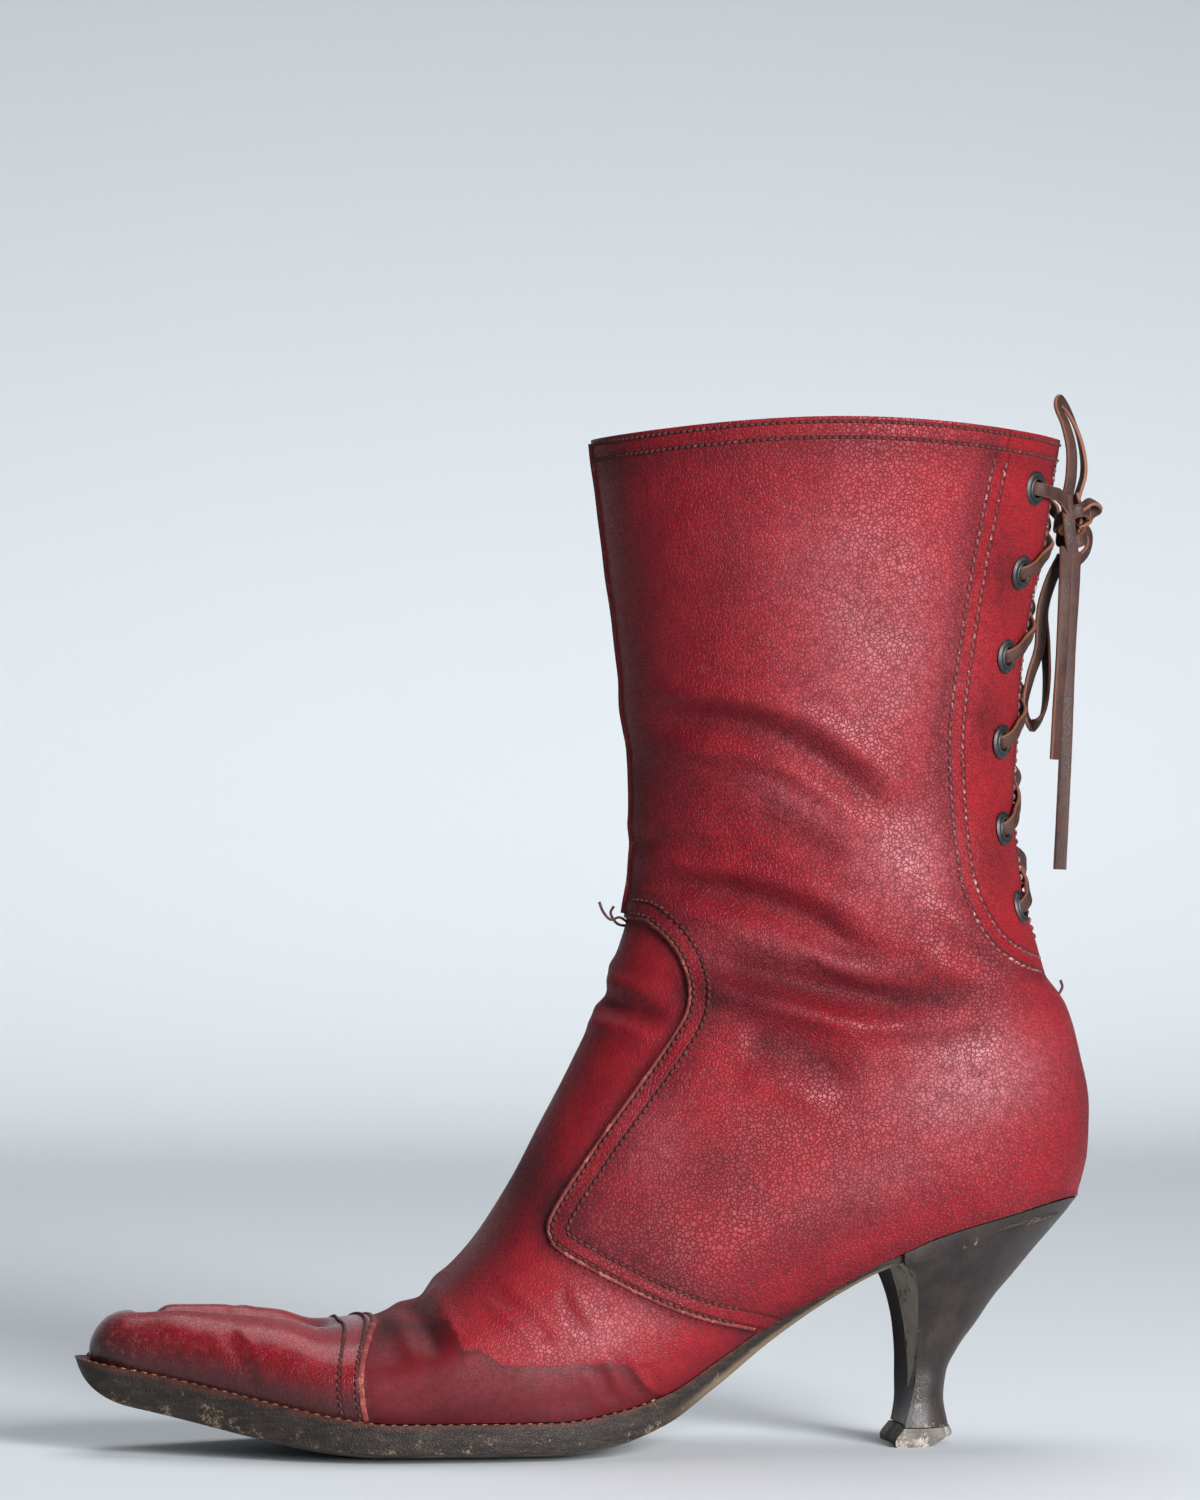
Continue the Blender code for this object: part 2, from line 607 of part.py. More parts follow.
def cap_outline():
    """Side view of the toe cap: in front of its seam, above the sole."""
    seam = curve_through(CAP_SEAM, 18)
    x = np.linspace(CAP_SEAM[-1][0] - 1.0, -150.0, 12)
    floor = np.stack([x, sole_top(x) + GAP + SEAM_CLEARANCE], axis=1)
    keep = seam[seam[:, 1] > float(sole_top(CAP_SEAM[-1][0])) + GAP + SEAM_CLEARANCE]
    return np.vstack([keep, floor, [(-150.0, 60.0), (-52.0, 60.0)]])


def seam_rib(name, line, proud, half, collection):
    """A raised seam along a line of the side view: proud of it and rooted in the wall."""
    direction = np.gradient(line, axis=0)
    direction /= np.linalg.norm(direction, axis=1)[:, None]
    outward = np.stack([-direction[:, 1], direction[:, 0]], axis=1)
    outline = np.vstack([line + outward * proud, (line - outward * SEAM_ROOT)[::-1]])
    return plate(name, outline, half, collection)


def make_upper(parts, cutters, material):
    """The hollow upper: a wall, thickened at the toe cap and the quarters, with raised seams and holes."""
    upper = make_object("upper", *upper_shell(0.0, WALL), parts, material)
    layer = upper_shell(OVERLAY, WALL / 2, OVERLAY_OPENING_SECTION, OVERLAY)
    over = helper(make_object("quarters", *layer, cutters))
    cap = helper(make_object("toe_cap", *layer, cutters))
    boolean(over, "INTERSECT", plate("quarter_form", quarter_outline(), 80.0, cutters))
    boolean(over, "DIFFERENCE", collar_cutter(cutters))
    middle = [(-40.0, 40.0), (160.0, 40.0), (160.0, 300.0), (-40.0, 300.0)]
    boolean(over, "DIFFERENCE", plate("quarters_apart", middle, QUARTERS_APART_HALF, cutters))
    boolean(cap, "INTERSECT", plate("cap_outline", cap_outline(), 80.0, cutters))
    boolean(upper, "UNION", over)
    boolean(upper, "UNION", cap)
    front = front_line()
    boolean(upper, "UNION", seam_rib("front_seam", front, FRONT_SEAM_PROUD, FRONT_SEAM_HALF, cutters))
    back = back_line()[::-1]
    boolean(upper, "UNION", seam_rib("back_seam", back, BACK_SEAM_PROUD, BACK_SEAM_HALF, cutters))
    for side in SIDES:
        for place, normal in eyelet_places(side):
            boolean(upper, "DIFFERENCE", eyelet_drill(place, normal, cutters))
    return upper


def wall_point(side, station, distance, inset=-OVERLAY):
    """A point of the upper's wall, at a distance along the wall from the back opening's edge."""
    points = evenly(shaft_half(station, side, inset), 400)
    along = np.concatenate([[0], np.cumsum(np.linalg.norm(np.diff(points, axis=0), axis=1))])
    return np.array([np.interp(distance, along, points[:, k]) for k in range(3)])


def wall_normal(side, station, distance):
    """The way the wall looks at that point."""
    nudge = 0.05
    up = wall_point(side, station + nudge, distance) - wall_point(side, station - nudge, distance)
    forward = wall_point(side, station, distance + 1.0) - wall_point(side, station, distance - 1.0)
    normal = np.cross(forward, up) * SIDES[side]
    return normal / np.linalg.norm(normal)


def station_at(side, height, distance):
    """The shaft station whose wall point at that distance has the given height."""
    stations = np.linspace(OPENING_SECTION + 0.2, len(SHAFT_SECTIONS) - 1.0, 60)
    heights = [wall_point(side, s, distance)[2] for s in stations]
    return float(np.interp(height, heights, stations))


def eyelet_places(side):
    """(point on the wall, outward normal) of each eyelet, from the top one down."""
    places = []
    for height in EYELET_HEIGHTS:
        station = station_at(side, height, EYELET_EDGE_DISTANCE)
        place = wall_point(side, station, EYELET_EDGE_DISTANCE)
        places.append((place, wall_normal(side, station, EYELET_EDGE_DISTANCE)))
    return places


def turned_to(place, normal):
    """Matrix, in metres, that puts a piece modelled along +Z at a place, looking along a normal."""
    turn = Vector((0, 0, 1)).rotation_difference(Vector(normal)).to_matrix().to_4x4()
    return Matrix.Translation(Vector(place) * MM) @ turn


def eyelet_drill(place, normal, collection):
    work = bmesh.new()
    radius = (EYELET_BARREL_RADIUS + GAP) * MM
    bmesh.ops.create_cone(work, cap_ends=True, segments=EYELET_SIDES, radius1=radius, radius2=radius, depth=12 * MM)
    mesh = bpy.data.meshes.new("eyelet_drill")
    work.to_mesh(mesh)
    work.free()
    drill = bpy.data.objects.new("eyelet_drill", mesh)
    drill.matrix_world = turned_to(place, normal)
    collection.objects.link(drill)
    return helper(drill)


def eyelet_mesh():
    """A turned eyelet: a rounded flange with a barrel through the wall, its axis on Z."""
    depth = WALL + OVERLAY + 2 * GAP
    flange, barrel, bore = EYELET_FLANGE_RADIUS, EYELET_BARREL_RADIUS, EYELET_HOLE_RADIUS
    profile = [
        (bore, GAP + 0.4 * EYELET_FLANGE),
        (0.55 * bore + 0.45 * flange, GAP + EYELET_FLANGE),
        (flange, GAP + 0.35 * EYELET_FLANGE),
        (flange, GAP),
        (barrel, GAP),
        (barrel, -depth),
        (bore, -depth),
    ]
    turns = np.linspace(0, 2 * math.pi, EYELET_SIDES, endpoint=False)
    loops = [[(r * math.cos(t), r * math.sin(t), z) for t in turns] for r, z in profile]
    index = np.arange(len(profile) * len(turns)).reshape(len(profile), len(turns))
    below, beside = np.roll(index, -1, axis=0), np.roll(index, -1, axis=1)
    corners = (index, below, np.roll(below, -1, axis=1), beside)
    faces = np.stack([c.ravel() for c in corners], axis=1)
    return np.array(loops).reshape(-1, 3), faces


def make_eyelets(parts, material):
    points, faces = eyelet_mesh()
    for side in SIDES:
        for number, (place, normal) in enumerate(eyelet_places(side), 1):
            eyelet = make_object(f"eyelet_{side}_{number}", points, faces, parts, material)
            eyelet.matrix_world = turned_to(place, normal)


def sole_half(side, level, outset, tip_outset, columns):
    """Grid over one side of a sole-shaped sheet. level(x, share, from_tip) gives its height."""
    sign = SIDES[side]
    share = np.linspace(1, 0, columns)
    rows = []
    for station in foot_stations()[:-1]:
        reach = outset(station)
        x = moved_station(station, -tip_outset if station < TOE_END else -reach)
        from_tip = x - TOE_TIP + tip_outset
        rounding = float(nose(from_tip, TOE_NOSE, TOE_NOSE_POWER))
        middle = float(column(FOOT_SECTIONS, "ridge", station))
        half = (foot_width(x, side, -reach) - sign * middle) * rounding
        y = middle + sign * max(half, TOE_TIP_HALF_WIDTH + min(reach, 0.0)) * share
        rows.append(np.stack([np.full(columns, x), y, level(x, share, from_tip)], axis=1))
    return np.array(rows)


def make_outsole(parts, material):
    """The outsole: its top follows the last's bottom, its tread rounds up to a bevelled edge."""

    def margin(x):
        return float(column(SOLE, "margin", x))

    def bevelled(x):
        return margin(x) - float(column(SOLE, "bevel", x))

    def top(x, share, from_tip):
        return np.full(len(share), float(sole_top(x)))

    def tread(x, share, from_tip):
        thin = float(nose(from_tip, SOLE_NOSE, 2.2))
        edge = max(float(column(SOLE, "edge", x)) * thin, 0.8)
        rounding = np.clip((share - TREAD_FLAT) / (1 - TREAD_FLAT), 0.0, 1.0) ** TREAD_POWER
        drop = float(column(SOLE, "tread", x)) * (1 - rounding)
        return float(sole_top(x)) - edge - drop

    columns = 6
    outer = [sole_half(side, top, margin, SOLE_TOE_MARGIN, columns) for side in SIDES]
    inner = [sole_half(side, tread, bevelled, SOLE_TOE_MARGIN - 0.6, columns) for side in SIDES]
    return make_object("outsole", *shell_mesh(outer, inner, []), parts, material)


def make_insole(parts, material):
    """A thin sock inside the upper, lying on the outsole."""
    inset = -(WALL + INSOLE_CLEARANCE)

    def outset(x):
        return inset

    def low(x, share, from_tip):
        return np.full(len(share), float(sole_top(x)) + GAP)

    def high(x, share, from_tip):
        return low(x, share, from_tip) + INSOLE_THICKNESS

    sheets = [[sole_half(side, level, outset, inset, 4) for side in SIDES] for level in (high, low)]
    return make_object("insole", *shell_mesh(*sheets, []), parts, material)


def heel_loop(level, slope):
    """One level of the heel: sides and back as half a superellipse, breast as a hollow arc."""
    turn = np.linspace(-math.pi / 2, math.pi / 2, 2 * HEEL_SIDE_POINTS + 1)
    reach = level.back_x - level.front_x
    x = level.front_x + reach * np.cos(turn) ** (2 / HEEL_SIDE_POWER)
    y = level.half_width * np.sign(np.sin(turn)) * np.abs(np.sin(turn)) ** (2 / HEEL_BACK_POWER)
    share = np.linspace(1, -1, HEEL_BREAST_POINTS + 2)[1:-1]
    x = np.concatenate([x, level.front_x + level.hollow * (1 - share**2)])
    y = np.concatenate([y, level.half_width * share])
    return np.stack([x, y, level.back_z + slope * (x - level.back_x)], axis=1)


def heel_slope(back_z):
    """How much a level leans: flat at the top lift, along the seat at the top."""
    low, high = HEEL_LEVELS[0].back_z, HEEL_LEVELS[-1].back_z
    return SEAT_SLOPE * max(0.0, (back_z - low) / (high - low)) ** 1.5


def make_heel(parts, heel_material, lift_material, flap_material):
    heel = [heel_loop(level, heel_slope(level.back_z)) for level in HEEL_LEVELS]
    lift = [heel_loop(level, 0.0) for level in LIFT_LEVELS]
    make_object("heel", *loop_mesh(heel), parts, heel_material)
    make_object("top_lift", *loop_mesh(lift), parts, lift_material)
    make_object("breast_flap", *loop_mesh(flap_loops()), parts, flap_material)


def flap_loops():
    """Flap in the heel's hollow breast, from the seat down, narrowing to a point."""
    loops = []
    top_level = HEEL_LEVELS[-1]
    top_z = top_level.back_z + SEAT_SLOPE * (top_level.front_x - top_level.back_x)
    for share in np.linspace(1, 0.02, 9):
        z = top_z - FLAP_LENGTH * share
        front, hollow, half = (breast_at(z, name) for name in ("front_x", "hollow", "half_width"))
        reach = max(min(FLAP_TOP_HALF_WIDTH * (1 - share) ** 0.6, 0.7 * half), 1.0)
        y = np.linspace(-reach, reach, 6)
        x = front + hollow * (1 - (y / half) ** 2) - GAP - 0.15
        back = np.stack([x, y, np.full(6, z)], axis=1)
        fore = back[::-1] - [FLAP_THICKNESS, 0, 0]
        loops.append(np.vstack([back, fore]))
    return loops


def breast_at(z, name):
    """A column of the heel's table, by the height of the breast."""
    heights = [
        level.back_z + heel_slope(level.back_z) * (level.front_x - level.back_x) for level in HEEL_LEVELS
    ]
    return float(smooth(z, heights, [getattr(level, name) for level in HEEL_LEVELS]))


def lace_bar(side, number, lift):
    """Path and facing of a lace from an eyelet over the edge of its facing to the other side's edge."""
    other = "medial" if side == "lateral" else "lateral"
    low, high = EYELET_HEIGHTS[number + 1], EYELET_HEIGHTS[number]
    start = EYELET_EDGE_DISTANCE - EYELET_FLANGE_RADIUS - 2.4
    path, facing = [], []
    for share, distance in ((0.0, start), (0.14, start * 0.55), (0.28, 1.2)):
        height = low + (high - low) * share
        station = station_at(side, height, distance)
        normal = wall_normal(side, station, max(distance, 1.5))
        path.append(wall_point(side, station, distance) + normal * (2.5 * GAP + LACE_THICKNESS / 2 + lift))
        facing.append(normal)
    height = low + (high - low) * 0.8
    station = station_at(other, height, 1.2)
    end = wall_point(other, station, 1.2)
    end[1] -= SIDES[other] * 4.0
    middle = (path[-1] + end) / 2 + np.array([1.6 + lift, 0.0, 0.0])
    path += [middle, end]
    facing += [np.array([1.0, 0.0, 0.0])] * 2
    return curve_through(path, 9), curve_through(facing, 9)


def make_lace_crossings(parts, cutters, material):
    """One joined cross of two bars between each two rows of eyelets."""
    for number in range(len(EYELET_HEIGHTS) - 1):
        first = ribbon(*lace_bar("lateral", number, 0.0))
        second = ribbon(*lace_bar("medial", number, 0.3))
        cross = make_object(f"lace_cross_{number + 1}", *first, parts, material)
        boolean(cross, "UNION", helper(make_object(f"lace_bar_{number + 1}", *second, cutters)))


def make_bow(parts, material):
    """The knot, the two loops and the two ends of the lace."""
    work = bmesh.new()
    bmesh.ops.create_uvsphere(work, u_segments=12, v_segments=8, radius=0.5)
    bmesh.ops.scale(work, vec=Vector(KNOT_SIZE) * MM, verts=work.verts)
    bmesh.ops.translate(work, vec=Vector(KNOT_CENTRE) * MM, verts=work.verts)
    mesh = bpy.data.meshes.new("lace_knot")
    work.to_mesh(mesh)
    work.free()
    mesh.materials.append(material)
    mesh.shade_smooth()
    parts.objects.link(bpy.data.objects.new("lace_knot", mesh))
    strands = {
        "lace_loop_up": (LOOP_UP, 26),
        "lace_loop_down": (LOOP_DOWN, 34),
        "lace_end_long": (END_LONG, 16),
        "lace_end_short": (END_SHORT, 12),
    }
    for name, (route, count) in strands.items():
        path = curve_through(route, count)
        facing = np.tile([0.25, -1.0, 0.0], (count, 1))
        make_object(name, *ribbon(path, facing), parts, material)


def finish_of(name, colour, roughness, metallic=0.0):
    material = bpy.data.materials.new(name)
    material.use_nodes = True
    shader = material.node_tree.nodes["Principled BSDF"]
    shader.inputs["Base Color"].default_value = colour
    shader.inputs["Roughness"].default_value = roughness
    shader.inputs["Metallic"].default_value = metallic
    return material


def main():
    for old in list(bpy.data.objects):
        bpy.data.objects.remove(old)
    parts = bpy.data.collections.new("lace_back_boot")
    cutters = bpy.data.collections.new("cutters")
    for made in (parts, cutters):
        bpy.context.scene.collection.children.link(made)
    lace = finish_of("lace leather", LACE_BROWN, 0.6)
    make_upper(parts, cutters, finish_of("red leather", LEATHER_RED, 0.38))
    make_outsole(parts, finish_of("sole leather", SOLE_BROWN, 0.7))
    make_insole(parts, finish_of("sock leather", LINING_TAN, 0.75))
    make_heel(
        parts,
        finish_of("heel", HEEL_BROWN, 0.35),
        finish_of("top lift", LIFT_GREY, 0.8),
        finish_of("breast leather", FLAP_GREY, 0.7),
    )
    make_eyelets(parts, finish_of("eyelet steel", EYELET_STEEL, 0.35, 0.9))
    make_lace_crossings(parts, cutters, lace)
    make_bow(parts, lace)


main()
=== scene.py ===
"""Looks of a heeled boot with a long toe and a laced back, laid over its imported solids.

Sizes are in millimetres until a mesh is made. The toe points to -X and the outer (lateral) side of
the foot to -Y. Every surface is a grid, or a profile along a path, worked out as whole arrays.
"""

import logging
import math
from collections.abc import Sequence
from dataclasses import dataclass, field
from enum import Enum
from typing import Any, NamedTuple

import bpy
import numpy as np
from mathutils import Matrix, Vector
from mathutils.bvhtree import BVHTree


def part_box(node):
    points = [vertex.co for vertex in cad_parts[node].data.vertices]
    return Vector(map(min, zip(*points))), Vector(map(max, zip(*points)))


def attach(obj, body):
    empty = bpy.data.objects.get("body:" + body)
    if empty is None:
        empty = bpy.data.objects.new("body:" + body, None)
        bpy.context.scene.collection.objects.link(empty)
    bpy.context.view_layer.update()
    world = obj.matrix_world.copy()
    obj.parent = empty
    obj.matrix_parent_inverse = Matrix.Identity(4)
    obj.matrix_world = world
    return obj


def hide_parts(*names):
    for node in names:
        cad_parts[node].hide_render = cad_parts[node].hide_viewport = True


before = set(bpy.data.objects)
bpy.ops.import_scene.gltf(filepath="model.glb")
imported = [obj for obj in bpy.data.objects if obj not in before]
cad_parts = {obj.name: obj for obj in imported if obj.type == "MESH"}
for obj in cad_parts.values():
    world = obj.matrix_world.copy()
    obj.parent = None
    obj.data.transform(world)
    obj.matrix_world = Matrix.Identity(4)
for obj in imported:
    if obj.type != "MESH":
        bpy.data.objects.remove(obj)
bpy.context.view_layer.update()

LOG = logging.getLogger("boot")
MM = 0.001
BODY = "root"

Array = np.ndarray
Colour = tuple[float, float, float]
Point = tuple[float, ...]
Socket = bpy.types.NodeSocket
Material = bpy.types.Material


class Side(Enum):
    """The two sides of the foot; the value is the sign of y."""

    LATERAL = -1.0
    MEDIAL = 1.0

    @property
    def word(self) -> str:
        """The side's name in the tables and in the nodes' names."""
        return self.name.lower()


class Look(Enum):
    """The finishes; the value is the material's name."""

    LEATHER = "burnished red leather"
    SEAM = "seam leather"
    RIM = "cut rim"
    RAW = "raw leather edge"
    LINING = "dark lining"
    SOCK = "tan sock"
    THREAD = "dark thread"
    DUSTY_THREAD = "dusty thread"
    WELT_THREAD = "tan thread"
    GUNMETAL = "dark gunmetal"
    HEEL = "dark heel"
    LIFT = "worn lift"
    FLAP = "worn breast leather"
    LACE = "brown lace leather"
    SOLE = "dark sole leather"


# Tables of the boot's form


class Outline(NamedTuple):
    """Half widths where the upper meets the sole."""

    x: float
    lateral: float
    medial: float


class Hollow(NamedTuple):
    """The sunken top of the toe box."""

    x: float
    depth: float
    half_width: float


class Foot(NamedTuple):
    """A section of the foot, from the sole up to the top line."""

    base_x: float
    top_x: float
    top_z: float
    ridge: float
    lateral: float
    medial: float
    side_at: float
    top_n: float
    base_n: float = 2.4


class Shaft(NamedTuple):
    """A section of the shaft, from the back line to the front line."""

    base_x: float
    base_z: float
    half_gap: float
    top_x: float
    top_z: float
    lateral: float
    medial: float
    side_at: float
    base_n: float
    top_n: float = 2.0


class Sole(NamedTuple):
    """The sole along its length: top, edge thickness, rounding of the tread, bevel and margin."""

    x: float
    top: float
    edge: float
    tread: float
    bevel: float
    margin: float


class Level(NamedTuple):
    """A level of the heel: its height at the back, its ends, half width and the breast's hollow."""

    back_z: float
    back_x: float
    front_x: float
    half_width: float
    hollow: float


class Crease(NamedTuple):
    """A soft trough in the leather along (x, z) points, with a swell on each side of it."""

    depth: float
    width: float
    swell: float
    points: tuple[Point, ...]
    fade_in: float = 0.2
    fade_out: float = 0.35


class Oval(NamedTuple):
    """A soft oval patch in the side view."""

    x: float
    z: float
    reach_x: float
    reach_z: float
    lean: float
    amount: float


class Shade(NamedTuple):
    """Burnish along a seam: where it is strongest, its reach and amount, and if it is only behind."""

    seam: str
    at: float
    reach: float
    amount: float
    behind: bool = False


class Cord(NamedTuple):
    """A free run of the lace: its node, its far end, the way it looks at both ends and its route."""

    name: str
    node: str
    far_end: str
    first: Point
    last: Point
    route: Sequence[Point]


def table(kind: type, *rows: Sequence[Any]) -> list[Any]:
    """The rows of a table as named tuples of one kind."""
    return [kind(*row) for row in rows]


OUTLINE = table(
    Outline,
    (-137.0, 5.6, 15.8), (-124.0, 9.8, 18.8), (-112.0, 15.8, 23.4), (-100.0, 22.4, 28.4),
    (-86.0, 29.8, 34.2), (-72.0, 36.2, 39.4), (-60.0, 39.4, 42.7), (-46.0, 40.8, 42.8),
    (-30.0, 41.0, 41.8), (-14.0, 39.8, 39.2), (2.0, 36.6, 34.4), (18.0, 31.6, 27.8),
    (34.0, 26.6, 21.8), (50.0, 24.2, 20.0), (66.0, 24.8, 22.2), (84.0, 26.4, 25.6),
    (106.3, 27.0, 27.0),
)
HOLLOW = table(
    Hollow,
    (-123.0, 0.0, 7.0), (-114.0, 5.0, 11.0), (-100.0, 7.8, 14.0),
    (-86.0, 8.4, 17.5), (-76.0, 6.4, 18.5), (-66.0, 0.0, 16.0),
)
FOOT = table(
    Foot,
    (-137.0, -137.0, 35.6, 5.0, 7.4, 17.4, 0.30, 2.6),
    (-122.0, -122.0, 37.2, 4.6, 12.0, 20.6, 0.30, 2.6),
    (-110.0, -110.0, 38.6, 4.2, 18.2, 25.2, 0.30, 2.6),
    (-96.0, -96.0, 38.0, 3.8, 26.0, 31.2, 0.30, 2.6),
    (-82.0, -82.0, 36.4, 3.4, 33.2, 36.8, 0.30, 2.6),
    (-72.0, -72.0, 33.8, 3.0, 37.6, 40.6, 0.30, 2.5),
    (-60.0, -59.0, 34.8, 2.6, 40.9, 44.0, 0.30, 2.4),
    (-48.0, -47.0, 40.0, 2.0, 42.2, 44.2, 0.30, 2.3),
    (-36.0, -37.5, 48.0, 1.2, 42.8, 43.8, 0.30, 2.2),
    (-23.0, -28.5, 58.5, 0.5, 42.4, 42.4, 0.28, 2.05),
    (-8.0, -20.0, 72.8, 0.0, 41.0, 40.2, 0.27, 1.95),
    (9.0, -11.5, 89.2, 0.0, 39.0, 38.0, 0.27, 1.9),
    (27.0, -3.6, 104.6, 0.0, 37.0, 36.0, 0.28, 1.85),
    (45.0, 3.2, 119.4, 0.0, 35.4, 34.8, 0.30, 1.85),
    (63.0, 8.2, 133.0, 0.0, 34.2, 33.8, 0.33, 1.9),
    (81.0, 11.4, 144.0, 0.0, 33.4, 33.2, 0.35, 1.9),
    (98.0, 12.8, 152.5, 0.0, 33.2, 33.0, 0.37, 1.95),
    (114.0, 13.6, 159.5, 0.0, 33.4, 33.2, 0.38, 2.0),
    (126.0, 13.8, 165.0, 0.0, 33.6, 33.4, 0.39, 2.0),
    (133.3, 13.6, 169.5, 0.0, 33.8, 33.6, 0.40, 2.0),
)
SHAFT = table(
    Shaft,
    (135.8, 77.0, 0.0, 13.4, 175.0, 34.3, 34.1, 0.42, 2.4),
    (136.1, 89.5, 0.0, 13.3, 181.5, 35.0, 34.8, 0.44, 2.4),
    (133.8, 104.5, 0.0, 12.9, 188.0, 35.8, 35.6, 0.46, 2.4),
    (129.8, 118.5, 0.0, 11.8, 194.5, 36.5, 36.3, 0.48, 2.4),
    (123.8, 127.0, 0.0, 11.0, 200.0, 37.1, 36.9, 0.49, 2.4),
    (122.2, 134.0, 0.6, 10.7, 206.0, 37.7, 37.5, 0.50, 2.1),
    (118.6, 145.5, 4.0, 9.9, 213.0, 38.5, 38.3, 0.50, 2.1),
    (115.9, 160.0, 7.0, 8.9, 221.5, 39.4, 39.2, 0.50, 2.1),
    (114.5, 175.0, 9.0, 7.9, 230.0, 40.4, 40.2, 0.50, 2.1),
    (115.2, 190.5, 10.5, 6.9, 238.0, 41.5, 41.3, 0.50, 2.1),
    (116.0, 207.0, 11.5, 5.9, 246.0, 42.7, 42.5, 0.50, 2.1),
    (118.2, 224.0, 12.5, 4.8, 254.0, 44.0, 43.8, 0.50, 2.1),
    (122.0, 241.0, 13.0, 3.8, 261.0, 45.0, 44.8, 0.50, 2.1),
    (124.2, 257.0, 13.3, 3.0, 267.0, 45.8, 45.6, 0.50, 2.1),
    (126.5, 272.0, 13.5, 2.5, 272.0, 46.4, 46.4, 0.50, 2.1),
)
SOLE = table(
    Sole,
    (-137.0, 25.4, 9.4, 0.0, 0.6, 2.6), (-120.0, 22.6, 10.0, 0.2, 0.8, 2.6),
    (-103.0, 19.2, 10.2, 0.8, 0.8, 2.6), (-86.0, 15.4, 9.6, 1.8, 0.8, 2.6),
    (-70.0, 12.2, 8.5, 2.8, 0.8, 2.6), (-56.0, 10.6, 7.6, 3.0, 0.8, 2.6),
    (-34.0, 10.6, 7.6, 3.0, 0.8, 2.6), (-12.0, 10.6, 7.6, 3.0, 0.8, 2.4),
    (4.0, 12.8, 8.2, 2.6, 1.2, 1.6), (18.0, 17.0, 8.0, 1.8, 2.4, 0.6),
    (32.0, 25.2, 7.2, 1.4, 4.0, 0.0), (48.0, 35.6, 5.4, 1.0, 4.6, -0.4),
    (64.0, 44.6, 3.4, 0.6, 3.4, -0.8), (80.0, 52.08, 2.2, 0.0, 0.6, -1.0),
    (133.3, 67.0, 2.2, 0.0, 0.6, -1.0),
)
LIFT_LEVELS = table(
    Level, (0.0, 99.4, 82.6, 12.8, 0.8), (1.2, 99.8, 82.4, 13.0, 0.8), (5.0, 99.0, 84.8, 12.4, 0.9)
)
HEEL_LEVELS = table(
    Level,
    (5.3, 98.7, 85.2, 12.2, 1.0), (12.9, 97.4, 86.6, 11.2, 2.2), (19.7, 98.2, 87.1, 11.2, 3.0),
    (26.4, 101.5, 87.3, 12.2, 3.6), (33.2, 106.5, 87.2, 13.8, 4.2), (39.9, 111.1, 86.7, 15.8, 4.6),
    (46.7, 116.9, 85.9, 18.3, 5.0), (53.4, 122.4, 84.9, 21.4, 5.0), (59.4, 127.6, 83.9, 24.6, 4.5),
    (63.9, 131.4, 82.4, 26.8, 4.0),
)

# How far the upper's foot stands above the sole where the heel's lip cups the seat, as (x, rise)
SEAT_RISE = [(70.0, 0.0), (82.0, 0.85), (92.0, 2.0), (106.0, 2.4), (120.0, 2.5), (129.0, 1.7), (133.3, 0.3)]

# Knocks on the heel: scratch, nicks at its back edge, chipped edge of its breast
HEEL_KNOCKS = table(
    Oval,
    (102.4, 56.2, 3.0, 0.7, 0.0, 1.3), (130.0, 65.0, 2.4, 1.0, 0.3, 1.2), (124.6, 59.6, 0.7, 2.0, 0.0, 1.2),
    (107.0, 31.8, 1.4, 1.8, 0.0, 1.1), (100.4, 22.6, 1.4, 2.2, 0.0, 1.1), (88.8, 27.0, 0.7, 7.0, 0.0, 0.9),
    (88.4, 12.0, 1.0, 4.0, 0.0, 0.9),
)

# Smooth curves in the side view, as (x, z) points: the edge of the stain on the vamp, and the seams
STAIN_EDGE = [
    (-66.0, 33.0), (-55.4, 35.5), (-46.6, 37.4), (-40.8, 37.6), (-38.6, 34.0), (-37.0, 30.6),
    (-32.8, 30.8), (-28.4, 27.3), (-23.3, 26.2), (-11.5, 26.2), (1.3, 26.6), (8.4, 24.8),
    (11.4, 20.6), (15.4, 17.4), (26.0, 15.0),
]
QUARTER_SEAM = [
    (-30.0, 143.5), (9.0, 143.2), (16.5, 140.8), (22.8, 132.5), (24.6, 121.5), (19.0, 110.0), (0.0, 83.8),
    (-12.4, 65.6), (-13.6, 59.0), (-9.0, 54.2), (12.5, 42.8), (27.0, 37.2), (41.5, 33.6), (62.0, 28.0),
]
CAP_SEAM = [(-52.0, 44.0), (-55.5, 37.0), (-60.5, 32.6), (-63.8, 26.0), (-64.2, 19.0), (-62.4, 9.0)]
FACING_SEAM = [
    (107.5, 277.0), (106.4, 271.8), (102.3, 254.7), (98.2, 232.1), (94.9, 209.5), (93.2, 190.9),
    (94.4, 169.5), (97.4, 150.8), (104.3, 137.3), (113.0, 131.0), (122.1, 127.9),
]

# Distances of the stitch rows from their seams
QUARTER_ROWS = (1.1, 4.9)
CAP_ROWS = (1.2, 5.6)
COLLAR_ROWS = (1.4, 5.6)
FACING_ROWS = (0.0, 3.8)
OPENING_ROW = 2.2

